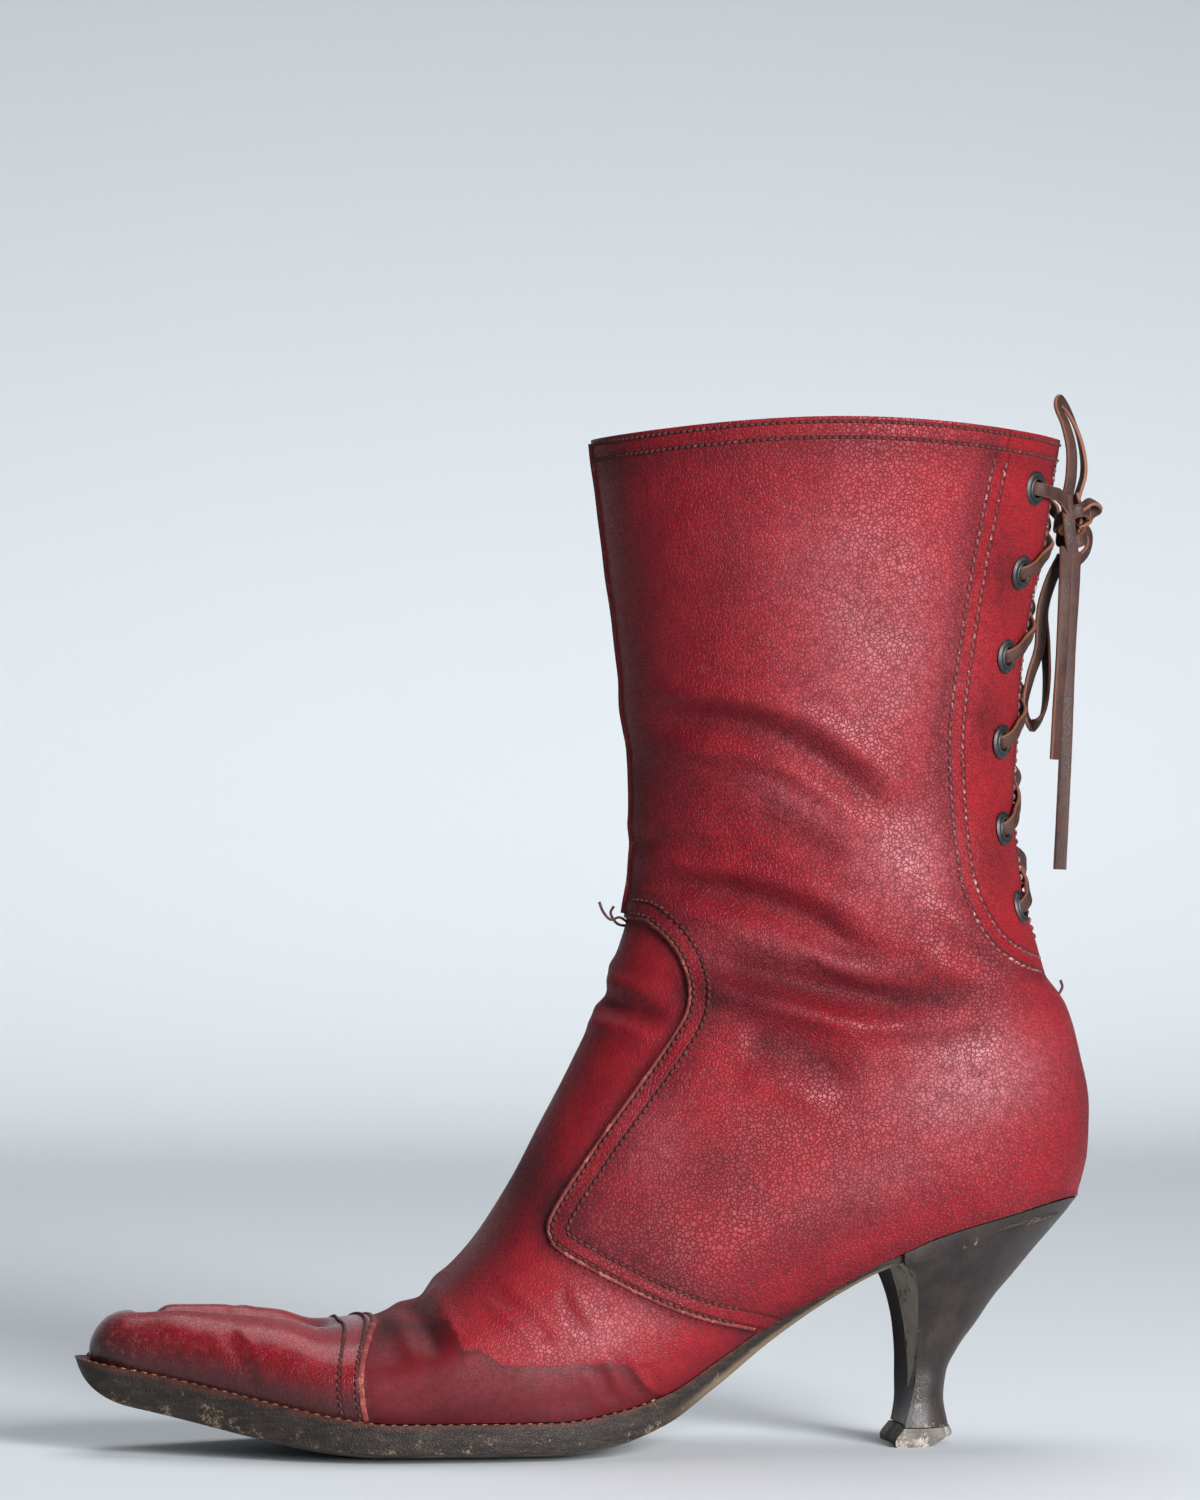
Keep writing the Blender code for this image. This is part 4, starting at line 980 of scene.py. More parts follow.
@dataclass(frozen=True)
class RedLeather(Finish):
    """Burnished crimson leather with a fine pebbled grain, with painted shade in its folds, and darker at
    its seams.

    Attributes:
        body: the colour of most of it.
        second: the colour that mottles it.
        dark: of burnished places and painted shade, cracks and grooves.
        pale: of the painted sheen, laid where the lights would gleam.
        fresh: of the facings.
        soaked: of the stain on the vamp.
        grime: of the dirt at the tip, of painted shade in the eyelets' holes and of a darkening along the
            toe cap's foot.
        chafed: of the scuffs.
        cell: size of its grain, in millimetres.
    """

    look: Look = Look.LEATHER
    body: Colour = (0.175, 0.0024, 0.0085)
    second: Colour = (0.215, 0.0050, 0.0110)
    dark: Colour = (0.028, 0.0012, 0.0036)
    pale: Colour = (0.32, 0.100, 0.115)
    fresh: Colour = (0.21, 0.0008, 0.0042)
    soaked: Colour = (0.042, 0.0014, 0.0030)
    grime: Colour = (0.035, 0.013, 0.012)
    chafed: Colour = (0.42, 0.11, 0.10)
    cell: float = 1.15

    def material(self) -> Material:
        """The finish as a material.

        The mesh keeps the distances from the seams and from the stain's edge. A stitch row lies in a
        groove, which is dark and dull. Burnish and painted shade (folds, hollows, holes) darken the body
        colour, a painted sheen lightens it where the lights would gleam, and a broad noise mottles it.
        The stain is smoother, darkest at its rim. The toe cap has a clear coat.

        Returns:
            The material.
        """
        graph = FinishGraph(self.look)
        times, ramp = graph.times, graph.ramp
        place = graph.place()
        grain = graph.group(self.shared.grain, Vector=place, Cell=self.cell)
        groove = self.grooves(graph)
        mottle = graph.noise(place, 0.075, 4.0, 0.6)
        fine = graph.noise(place, 0.42, 3.0, 0.6)
        rub = graph.attribute("rub")
        on_cap = ramp(graph.attribute("cap"), -0.6, 0.6)
        on_facing = ramp(graph.attribute("facing"), 0.0, 1.2)
        wavy = graph.add(-2.0, (graph.attribute("stain"), 1.0), (fine, 4.0))
        soaked = ramp(wavy, 0.0, 0.9)
        rim = times(soaked, ramp(wavy, 0.9, 3.5, 0.25, 0.0))
        shade = graph.add(graph.attribute("burnish"), (ramp(fine, 0.62, 0.34), 0.2))
        smoothed = graph.add(1.0, (soaked, -0.8))
        pebbled = times(ramp(graph.attribute("quarter"), -0.5, 0.5, 0.55, 1.0), smoothed)
        cracks = times(times(grain["Cracks"], graph.add(0.5, (rub, 0.35))), pebbled)
        scuffed = times(self.scuffs(graph, place, 0.6, 0.6), graph.attribute("chafe"))
        tone = graph.coats(
            self.body,
            (ramp(mottle, 0.36, 0.66), self.second),
            (times(on_facing, 0.7), self.fresh),
            (graph.add(rim, (soaked, 0.58)), self.soaked),
            # Painted sheen: a pale pink highlight laid into the colour
            (times(rub, ramp(fine, 0.25, 0.7, 0.55, 1.0)), self.pale),
            # Dark coat: burnish and painted shade, strongest in the folds, the toe's hollow and down the
            # front
            (graph.math("MINIMUM", shade, 0.9), self.dark),
            (cracks, self.dark),
            (times(groove, 0.6), self.dark),
            # Dirt at the tip; painted shade in the eyelets' holes
            (graph.attribute("grime"), self.grime),
            (scuffed, self.chafed),
        )
        dull = graph.math("MAXIMUM", groove, scuffed)
        even = graph.add(0.40, (ramp(mottle, 0.3, 0.7), 0.1))
        places = graph.add(even, (on_cap, -0.17), (on_facing, 0.25), (shade, 0.3), (rub, -0.1))
        graph.give("Base Color", tone)
        graph.give("Roughness", graph.add(places, (dull, 0.25), (grain["Cracks"], 0.2)))
        graph.give("Specular IOR Level", 0.26)
        graph.give("Coat Weight", times(on_cap, 0.35))
        graph.give("Coat Roughness", 0.24)
        pebbles = times(grain["Height"], pebbled)
        graph.relief(graph.add(pebbles, (groove, -1.6), (fine, 0.6)), 0.15, 0.8)
        return graph.material

    @staticmethod
    def grooves(graph: FinishGraph) -> Socket:
        """1 on every stitch row, 0 beyond half a groove from it.

        The facing's rows end below the collar's band, and a join stands for them on it.

        Args:
            graph: the material's graph.

        Returns:
            The mask.
        """
        collar = graph.attribute("collar")
        below, above = graph.ramp(collar, 6.0, 7.0), graph.ramp(collar, 5.8, 5.2)
        lines: list[tuple[str, float, float, Any]] = [("quarter", row, 0.75, 1.0) for row in QUARTER_ROWS]
        lines += [("cap", row, 0.75, 1.0) for row in CAP_ROWS]
        lines += [("collar", row, 0.7, 1.0) for row in COLLAR_ROWS]
        lines += [("facing", row, 0.75, below) for row in FACING_ROWS]
        lines += [("facing", 2.6, 0.6, above), ("opening", OPENING_ROW, 0.7, 1.0)]
        mask: Any = 0.0
        for seam, row, half, share in lines:
            away = graph.math("ABSOLUTE", graph.math("SUBTRACT", graph.attribute(seam), row))
            mask = graph.math("MAXIMUM", mask, graph.times(graph.ramp(away, 0.0, half, 1.0, 0.0), share))
        return mask


@dataclass(frozen=True)
class WornFinish(Finish):
    """A plain finish with grain, mottling and scuffs of another colour.

    Attributes:
        body: its colour.
        second: the colour that mottles it.
        worn: the colour of its scuffs.
        wear: how much of it is scuffed, 0 to 1.
        wear_size: how large the scuffs are.
        roughness: of the unworn surface.
        cell: size of its grain.
        relief: depth of its grain.
        metallic: 1 for metal.
        mask: a mesh value that the scuffs follow, if any.
        stretch: how much its patterns are squeezed on each axis.
    """

    body: Colour
    second: Colour
    worn: Colour
    wear: float
    wear_size: float
    roughness: float
    cell: float = 1.0
    relief: float = 0.08
    metallic: float = 0.0
    mask: str = ""
    stretch: tuple[float, float, float] = (1.0, 1.0, 1.0)

    def material(self) -> Material:
        """The finish as a material: mottled body colour, scuffs over it, grain as relief.

        Returns:
            The material.
        """
        graph = FinishGraph(self.look)
        place = graph.place(self.stretch)
        grain = graph.group(self.shared.grain, Vector=place, Cell=self.cell)
        mottle = graph.noise(place, 0.16, 5.0, 0.65)
        amount = graph.times(graph.attribute(self.mask), self.wear) if self.mask else self.wear
        scuff = self.scuffs(graph, place, self.wear_size, amount)
        tone = graph.coats(
            self.body,
            (graph.ramp(mottle, 0.36, 0.66), self.second),
            (graph.times(grain["Cracks"], 0.35), [0.4 * c for c in self.body]),
            (scuff, self.worn),
        )
        graph.give("Base Color", tone)
        even = graph.ramp(mottle, 0.3, 0.7)
        graph.give("Roughness", graph.add(self.roughness, (even, 0.14), (scuff, 0.22)))
        graph.give("Metallic", self.metallic)
        graph.give("Specular IOR Level", 0.35)
        graph.relief(grain["Height"], self.relief, 0.7)
        return graph.material


@dataclass(frozen=True)
class LaceLeather(Finish):
    """Flat cut lace: dark grain sides, paler where it was cut.

    Attributes:
        face: colour of its broad sides.
        second: the colour that mottles them.
        cut: colour of its narrow sides.
    """

    look: Look = Look.LACE
    face: Colour = (0.026, 0.0090, 0.0066)
    second: Colour = (0.050, 0.0165, 0.0115)
    cut: Colour = (0.19, 0.066, 0.034)

    def material(self) -> Material:
        """The finish as a material; the mesh keeps where the lace was cut.

        Returns:
            The material.
        """
        graph = FinishGraph(self.look)
        place = graph.place()
        grain = graph.group(self.shared.grain, Vector=place, Cell=0.7)
        mottle = graph.noise(place, 0.22, 4.0, 0.6)
        tone = graph.coats(
            self.face,
            (graph.ramp(mottle, 0.35, 0.66), self.second),
            (graph.times(grain["Cracks"], 0.4), [0.4 * c for c in self.face]),
            (graph.times(graph.attribute("cut"), 0.85), self.cut),
        )
        graph.give("Base Color", tone)
        graph.give("Roughness", graph.ramp(mottle, 0.3, 0.7, 0.48, 0.62))
        graph.give("Specular IOR Level", 0.35)
        graph.relief(grain["Height"], 0.07, 0.7)
        return graph.material


@dataclass(frozen=True)
class SoleEdge(Finish):
    """Dark sole leather: a reddish rim at the top of its edge, tan scuffs below, a worn tread.

    Attributes:
        body: colour of its edge.
        second: of the streaks in it.
        rim: of the top of the edge.
        tan: of bare leather and scuffs.
        tread: of the worn tread.
    """

    look: Look = Look.SOLE
    body: Colour = (0.0125, 0.0085, 0.0078)
    second: Colour = (0.028, 0.0195, 0.0155)
    rim: Colour = (0.075, 0.018, 0.0105)
    tan: Colour = (0.21, 0.15, 0.095)
    tread: Colour = (0.13, 0.10, 0.078)

    def material(self) -> Material:
        """The finish as a material; the mesh keeps how far down the edge a point is.

        Returns:
            The material.
        """
        graph = FinishGraph(self.look)
        times, ramp = graph.times, graph.ramp
        place = graph.place()
        grain = graph.group(self.shared.grain, Vector=place, Cell=0.9)
        streaks = graph.noise(graph.place((0.5, 0.5, 2.4)), 0.3, 5.0, 0.7)
        mottle = graph.noise(place, 0.12, 5.0, 0.65)
        down = graph.attribute("down")
        rim = times(ramp(down, 0.22, 0.05), ramp(streaks, 0.25, 0.6))
        scuff = self.scuffs(graph, place, 1.5, graph.add(0.32, (ramp(down, 0.0, 1.2), 0.30)))
        tone = graph.coats(
            self.body,
            (ramp(streaks, 0.38, 0.66), self.second),
            (times(rim, 0.75), self.rim),
            (times(ramp(down, 1.0, 1.5), ramp(mottle, 0.3, 0.6)), self.tread),
            (graph.attribute("bare"), self.tan),
            (times(scuff, 0.65), self.tan),
        )
        graph.give("Base Color", tone)
        graph.give("Roughness", graph.add(0.55, (scuff, 0.2)))
        graph.give("Specular IOR Level", 0.3)
        graph.relief(graph.add(grain["Height"], (streaks, 1.5), (scuff, -0.8)), 0.16, 0.6)
        return graph.material


# Plain finishes, with the columns of WornFinish
PLAIN_FINISHES = [
    (Look.SEAM, (0.15, 0.008, 0.013), (0.24, 0.012, 0.018), (0.4, 0.1, 0.09),
     0.5, 2.0, 0.42),
    (Look.RIM, (0.36, 0.014, 0.020), (0.26, 0.012, 0.018), (0.5, 0.16, 0.13),
     0.5, 2.0, 0.5),
    (Look.RAW, (0.17, 0.026, 0.024), (0.11, 0.014, 0.014), (0.30, 0.09, 0.075),
     0.6, 1.5, 0.7, 0.5, 0.05),
    (Look.LINING, (0.080, 0.060, 0.054), (0.11, 0.083, 0.073), (0.17, 0.13, 0.11),
     0.5, 12.0, 0.62, 0.9, 0.06),
    (Look.SOCK, (0.40, 0.24, 0.15), (0.31, 0.18, 0.11), (0.22, 0.13, 0.09),
     0.6, 14.0, 0.68, 0.9, 0.06),
    (Look.THREAD, (0.040, 0.0105, 0.0090), (0.075, 0.021, 0.018), (0.17, 0.080, 0.070),
     0.4, 1.2, 0.6, 0.3, 0.05),
    # The facing's stitches: pinkish grey, a painted sheen on the thread
    (Look.DUSTY_THREAD, (0.17, 0.055, 0.055), (0.07, 0.02, 0.02), (0.36, 0.21, 0.20),
     0.6, 1.2, 0.7, 0.3, 0.05),
    (Look.WELT_THREAD, (0.19, 0.085, 0.045), (0.10, 0.035, 0.020), (0.36, 0.25, 0.16),
     0.5, 3.0, 0.75, 0.4, 0.05),
    (Look.GUNMETAL, (0.050, 0.050, 0.054), (0.085, 0.083, 0.085), (0.17, 0.165, 0.165),
     0.25, 1.6, 0.46, 0.6, 0.01, 0.95),
    (Look.HEEL, (0.015, 0.0108, 0.0102), (0.027, 0.019, 0.017), (0.22, 0.15, 0.10),
     0.6, 2.4, 0.38, 0.9, 0.03, 0.0, "worn", (1.0, 1.0, 0.55)),
    (Look.LIFT, (0.10, 0.088, 0.078), (0.18, 0.16, 0.14), (0.34, 0.31, 0.27),
     0.7, 1.8, 0.8, 0.6, 0.14),
    (Look.FLAP, (0.42, 0.36, 0.30), (0.32, 0.27, 0.22), (0.14, 0.11, 0.09),
     0.6, 3.0, 0.7, 0.8, 0.08),
]


def make_finishes(shared: SharedEffects) -> dict[Look, Material]:
    """All materials.

    Args:
        shared: the shared node groups.

    Returns:
        The materials by their look.
    """
    finishes = [WornFinish(shared, *row) for row in PLAIN_FINISHES]
    finishes += [RedLeather(shared), LaceLeather(shared), SoleEdge(shared)]
    return {finish.look: finish.material() for finish in finishes}


# Strips, stitches and strands that follow a line


class Trail(NamedTuple):
    """A line on a surface with the surface's outward normals."""

    points: Array
    normals: Array

    @classmethod
    def of(cls, both: Array) -> "Trail":
        """A line given as rows of a point and a normal."""
        return cls(both[:, :3], unit(both[:, 3:]))

    def frames(self) -> tuple[Array, Array, Array]:
        """Directions along the line, across it and out of the surface, each one long.

        Returns:
            Three arrays with one row for each point.
        """
        along = unit(np.gradient(self.points, axis=0))
        across = unit(np.cross(self.normals, along))
        return along, across, np.cross(along, across)

    def evenly(self, count: int) -> "Trail":
        """The same line with count points at equal distances."""
        return Trail.of(evenly(np.hstack([self.points, self.normals]), count))


@dataclass(frozen=True)
class Stitching:
    """A row of thread stitches: short capsules, bowed so that both ends dive into the leather.

    Attributes:
        pitch: from one stitch to the next.
        length: of one stitch.
        radius: of the thread.
        lift: of its middle over the surface.
        slant: how far each stitch leans across the row, as a share of its length.
        dive: how far its ends go below the surface.
    """

    pitch: float
    length: float
    radius: float = 0.42
    lift: float = 0.3
    slant: float = 0.10
    dive: float = 0.35

    def template(self) -> Patch:
        """One stitch along X: five rings of six points whose radius falls off towards the ends.

        Returns:
            The stitch.
        """
        t = np.array([-1.0, -0.72, 0.0, 0.72, 1.0])[:, None]
        size = np.array([0.35, 0.85, 1.0, 0.85, 0.35])[:, None] * self.radius
        turn = np.linspace(0, 2 * math.pi, 6, endpoint=False)
        x = np.repeat(t * self.length / 2, 6, axis=1)
        y = size * np.cos(turn) + self.slant * x
        z = size * np.sin(turn) + self.lift - (self.lift + self.dive) * t**4
        return tube_patch(np.stack([x, y, z], axis=2))

    def row(self, trail: Trail) -> Patch:
        """Stitches along a trail, each standing on its surface.

        Args:
            trail: the row's line.

        Returns:
            All the stitches as one patch.
        """
        count = max(2, int(round(along_of(trail.points)[-1] / self.pitch)))
        fine = trail.evenly(2 * count + 1)
        axes = np.stack(fine.frames(), axis=1)[1::2]
        one = self.template()
        points = np.einsum("pk,nkc->npc", one.points, axes) + fine.points[1::2, None]
        return joined([Patch(stitch, one.faces) for stitch in points])


def strip_patch(trail: Trail, width: float, height: float, sink: float = 0.5) -> Patch:
    """A raised strip along a trail: a half-round profile whose foot is sunk in the surface.

    Args:
        trail: the strip's line.
        width: across the line.
        height: above the surface.
        sink: of its foot, below the surface.

    Returns:
        The strip as a patch.
    """
    _, across, out = trail.frames()
    turn = np.linspace(0, math.pi, 7)
    y = np.concatenate([width / 2 * np.cos(turn), [-width / 2, width / 2]])
    z = np.concatenate([height * np.sin(turn) ** 0.7, [-sink, -sink]])
    return tube_patch(swept(trail.points, across, out, y, z))


@dataclass(frozen=True)
class Lace:
    """The flat cut lace.

    Attributes:
        width: of its broad side.
        thickness: of its cut edge.
    """

    width: float = 3.6
    thickness: float = 1.3

    def strand(self, points: Array, facing: Array | Sequence[float]) -> Patch:
        """A strand: a superellipse of power 4 carried along a path; cut is 1 on its narrow sides.

        Args:
            points: the path.
            facing: which way the broad side looks, at each point or everywhere.

        Returns:
            The strand as a patch.
        """
        along = unit(np.gradient(points, axis=0))
        across = unit(np.cross(along, facing))
        turn = np.linspace(0, 2 * math.pi, 16, endpoint=False)
        y = self.width / 2 * np.sign(np.cos(turn)) * np.abs(np.cos(turn)) ** 0.5
        z = self.thickness / 2 * np.sign(np.sin(turn)) * np.abs(np.sin(turn)) ** 0.5
        cut = np.tile(step01((np.abs(np.cos(turn)) - 0.8) / 0.15), (len(points), 1))
        return tube_patch(swept(points, across, np.cross(across, along), y, z), {"cut": cut})


# The form of the upper


@dataclass(frozen=True)
class Last:
    """The form of the boot, as half sections that fan from the toe to the collar.

    Attributes:
        toe_tip: front of the upper.
        tip_half_width: of the blunt tip.
        toe_nose: length of the rounded front, seen from above.
        blunt_nose: the same, seen from the side.
        nose_power: of its superellipse.
        lobe_front: where the toe's medial ridge begins.
        lobe_drop: how much lower the toe is in front of that.
        seat_radius: of the heel seat's half circle.
        seat_back: back of the seat.
        opening: the shaft section where the back opening begins.
        collar_rise: how much higher the collar is at its sides.
        rise_from: the shaft section where that rise begins.
        gap: between the upper and the sole.
    """

    toe_tip: float = -132.6
    tip_half_width: float = 4.0
    toe_nose: float = 14.0
    blunt_nose: float = 9.0
    nose_power: float = 2.4
    lobe_front: float = -111.5
    lobe_drop: float = 4.2
    seat_radius: float = 27.0
    seat_back: float = 133.3
    opening: float = 4.6
    collar_rise: float = 4.5
    rise_from: float = 9.0
    gap: float = 0.3

    @property
    def seat_centre(self) -> float:
        """Centre of the seat's half circle."""
        return self.seat_back - self.seat_radius

    def stations(self, nose: int, middle: int, seat: int) -> Array:
        """Where sections stand on the sole, closer together at both rounded ends.

        Args:
            nose: how many in the rounded front.
            middle: how many from there to the seat.
            seat: how many round the seat.

        Returns:
            The stations, from the toe to the back.
        """
        front = self.toe_tip + self.toe_nose * (1 - np.cos(np.linspace(0, math.pi / 2, nose)))
        waist = np.linspace(self.toe_tip + self.toe_nose, self.seat_centre, middle + 1)[1:]
        back = self.seat_centre + self.seat_radius * np.sin(np.linspace(0, math.pi / 2, seat + 1))[1:]
        return np.concatenate([front, waist, back])

    def rounding(self, from_tip: Array) -> Array:
        """A superellipse's rise: 0 at the tip, 1 from the nose's length on."""
        t = np.clip(1 - from_tip / self.toe_nose, 0.0, 1.0)
        return (1 - t**self.nose_power) ** (1 / self.nose_power)

    def foot_width(self, x: Array, side: Side, outset: Array | float = 0.0) -> Array:
        """Half width at the sole: the outline's table, then the seat's half circle.

        Args:
            x: places along the sole.
            side: which side.
            outset: how far outside the upper's edge.

        Returns:
            The half widths.
        """
        straight = column(OUTLINE, side.word, np.minimum(x, self.seat_centre)) + outset
        square = (self.seat_radius + outset) ** 2 - (x - self.seat_centre) ** 2
        return np.where(x <= self.seat_centre, straight, np.sqrt(np.maximum(square, 0.0)))

    def foot_height(self, x: Array) -> Array:
        """Height of the upper's foot: the sole's top, the gap and the rise at the heel's seat."""
        return column(SOLE, "top", x) + self.gap + smooth(x, *zip(*SEAT_RISE))

    @staticmethod
    def half_arch(height: Array, side: Array, foot: Array, value: dict[str, Array]) -> tuple[Array, Array]:
        """Height and distance from the ridge, from the foot of the wall up to the ridge.

        Below its widest place the arch is part of one superellipse, above it a quarter of another.

        Args:
            height: of the arch.
            side: its widest half width.
            foot: its half width at the foot.
            value: side_at, the share of the height where it is widest, and the powers top_n and base_n.

        Returns:
            Two arrays with one row for each section.
        """
        given = (height, side, foot, value["side_at"], value["top_n"], value["base_n"])
        height, side, foot, side_at, top_n, base_n = (np.asarray(a, float)[:, None] for a in given)
        low = -np.arccos(np.minimum(np.maximum(foot, 0.0) / side, 0.999) ** (base_n / 2))
        angle = low + (math.pi / 2 - low) * np.linspace(0, 1, 161)[None]
        up, out = np.abs(np.sin(angle)), np.clip(np.cos(angle), 0.0, 1.0)
        below = side_at * height * (1 - np.minimum(up / np.sin(-low), 1.0) ** (2 / base_n))
        above = height * (side_at + (1 - side_at) * up ** (2 / top_n))
        across = side * np.where(angle < 0, out ** (2 / base_n), out ** (2 / top_n))
        return np.where(angle < 0, below, above), across

    def foot_half(self, x: Array, side: Side) -> Array:
        """Half sections whose feet are on the sole; the toe's top is sunk by a soft hollow.

        Args:
            x: their stations.
            side: which side.

        Returns:
            (sections, points, 3) coordinates.
        """
        value = {name: column(FOOT, name, x) for name in Foot._fields[1:]}
        rounding = np.maximum(self.rounding(x - self.toe_tip), 0.04)
        lift = np.maximum(self.rounding((x - self.toe_tip) * self.toe_nose / self.blunt_nose), 0.04)
        base = np.stack([x, self.foot_height(x)], axis=1)
        top = np.stack([value["top_x"], base[:, 1] + (value["top_z"] - base[:, 1]) * lift], axis=1)
        from_ridge = -side.value * value["ridge"]
        height = np.linalg.norm(top - base, axis=1)
        wide = np.maximum((value[side.word] + from_ridge) * rounding, self.tip_half_width + 0.5)
        least = np.where(x < 0, self.tip_half_width, 0.0)
        foot = np.maximum((self.foot_width(x, side) + from_ridge) * rounding, least)
        along, across = self.half_arch(height, wide, foot, value)
        axis = (top - base) / height[:, None]
        px, pz = base[:, :1] + axis[:, :1] * along, base[:, 1:] + axis[:, 1:] * along
        at = np.clip(px, HOLLOW[0].x, HOLLOW[-1].x)
        share = np.clip(across / column(HOLLOW, "half_width", at), 0.0, 1.0)
        pz = pz - column(HOLLOW, "depth", at) * (1 - share**2) ** 2
        if side is Side.MEDIAL:
            front = step01((self.lobe_front - px) / 7.0) * step01((px - self.toe_tip) / 6.0)
            pz = pz - self.lobe_drop * front * step01(across / 7.0) * step01(along / height[:, None] - 0.2)
        return np.stack([px, value["ridge"][:, None] + side.value * across, pz], axis=2)

    def shaft_half(self, station: Array, side: Side) -> Array:
        """Half sections whose feet are on the back line; the collar rises at its sides as a sine.

        Args:
            station: places counted along the shaft's table.
            side: which side.

        Returns:
            (sections, points, 3) coordinates.
        """
        count = np.arange(len(SHAFT))
        value = {name: smooth(station, count, [getattr(s, name) for s in SHAFT]) for name in Shaft._fields}
        base = np.stack([value["base_x"], value["base_z"]], axis=1)
        top = np.stack([value["top_x"], value["top_z"]], axis=1)
        height = np.linalg.norm(top - base, axis=1)
        gap = np.where(station > self.opening, value["half_gap"], 0.0)
        along, across = self.half_arch(height, value[side.word], gap, value)
        axis = (top - base) / height[:, None]
        rise = self.collar_rise * step01((station - self.rise_from) / (len(SHAFT) - 1 - self.rise_from))
        pz = base[:, 1:] + axis[:, 1:] * along + rise[:, None] * np.sin(math.pi * along / height[:, None])
        return np.stack([base[:, :1] + axis[:, :1] * along, side.value * across, pz], axis=2)

    @staticmethod
    def resampled(sections: Array, columns: int, crowding: float) -> Array:
        """Sections with the same number of points each, closer together at both ends.

        All sections are read in one go: each one's distances are shifted past the one before.

        Args:
            sections: (sections, points, 3) coordinates.
            columns: points wanted in each.
            crowding: how much closer they are at the ends.

        Returns:
            (sections, columns, 3) coordinates.
        """
        step = np.linalg.norm(np.diff(sections, axis=1), axis=2)
        along = np.concatenate([np.zeros((len(sections), 1)), np.cumsum(step, axis=1)], axis=1)
        along /= along[:, -1:]
        share = np.linspace(0, 1, columns)
        share = share - crowding * np.sin(2 * math.pi * share) / (2 * math.pi)
        shift = 2.0 * np.arange(len(sections))[:, None]
        where, known = (share[None] + shift).ravel(), (along + shift).ravel()
        read = [np.interp(where, known, sections[..., k].ravel()) for k in range(3)]
        return np.stack(read, axis=1).reshape(len(sections), columns, 3)


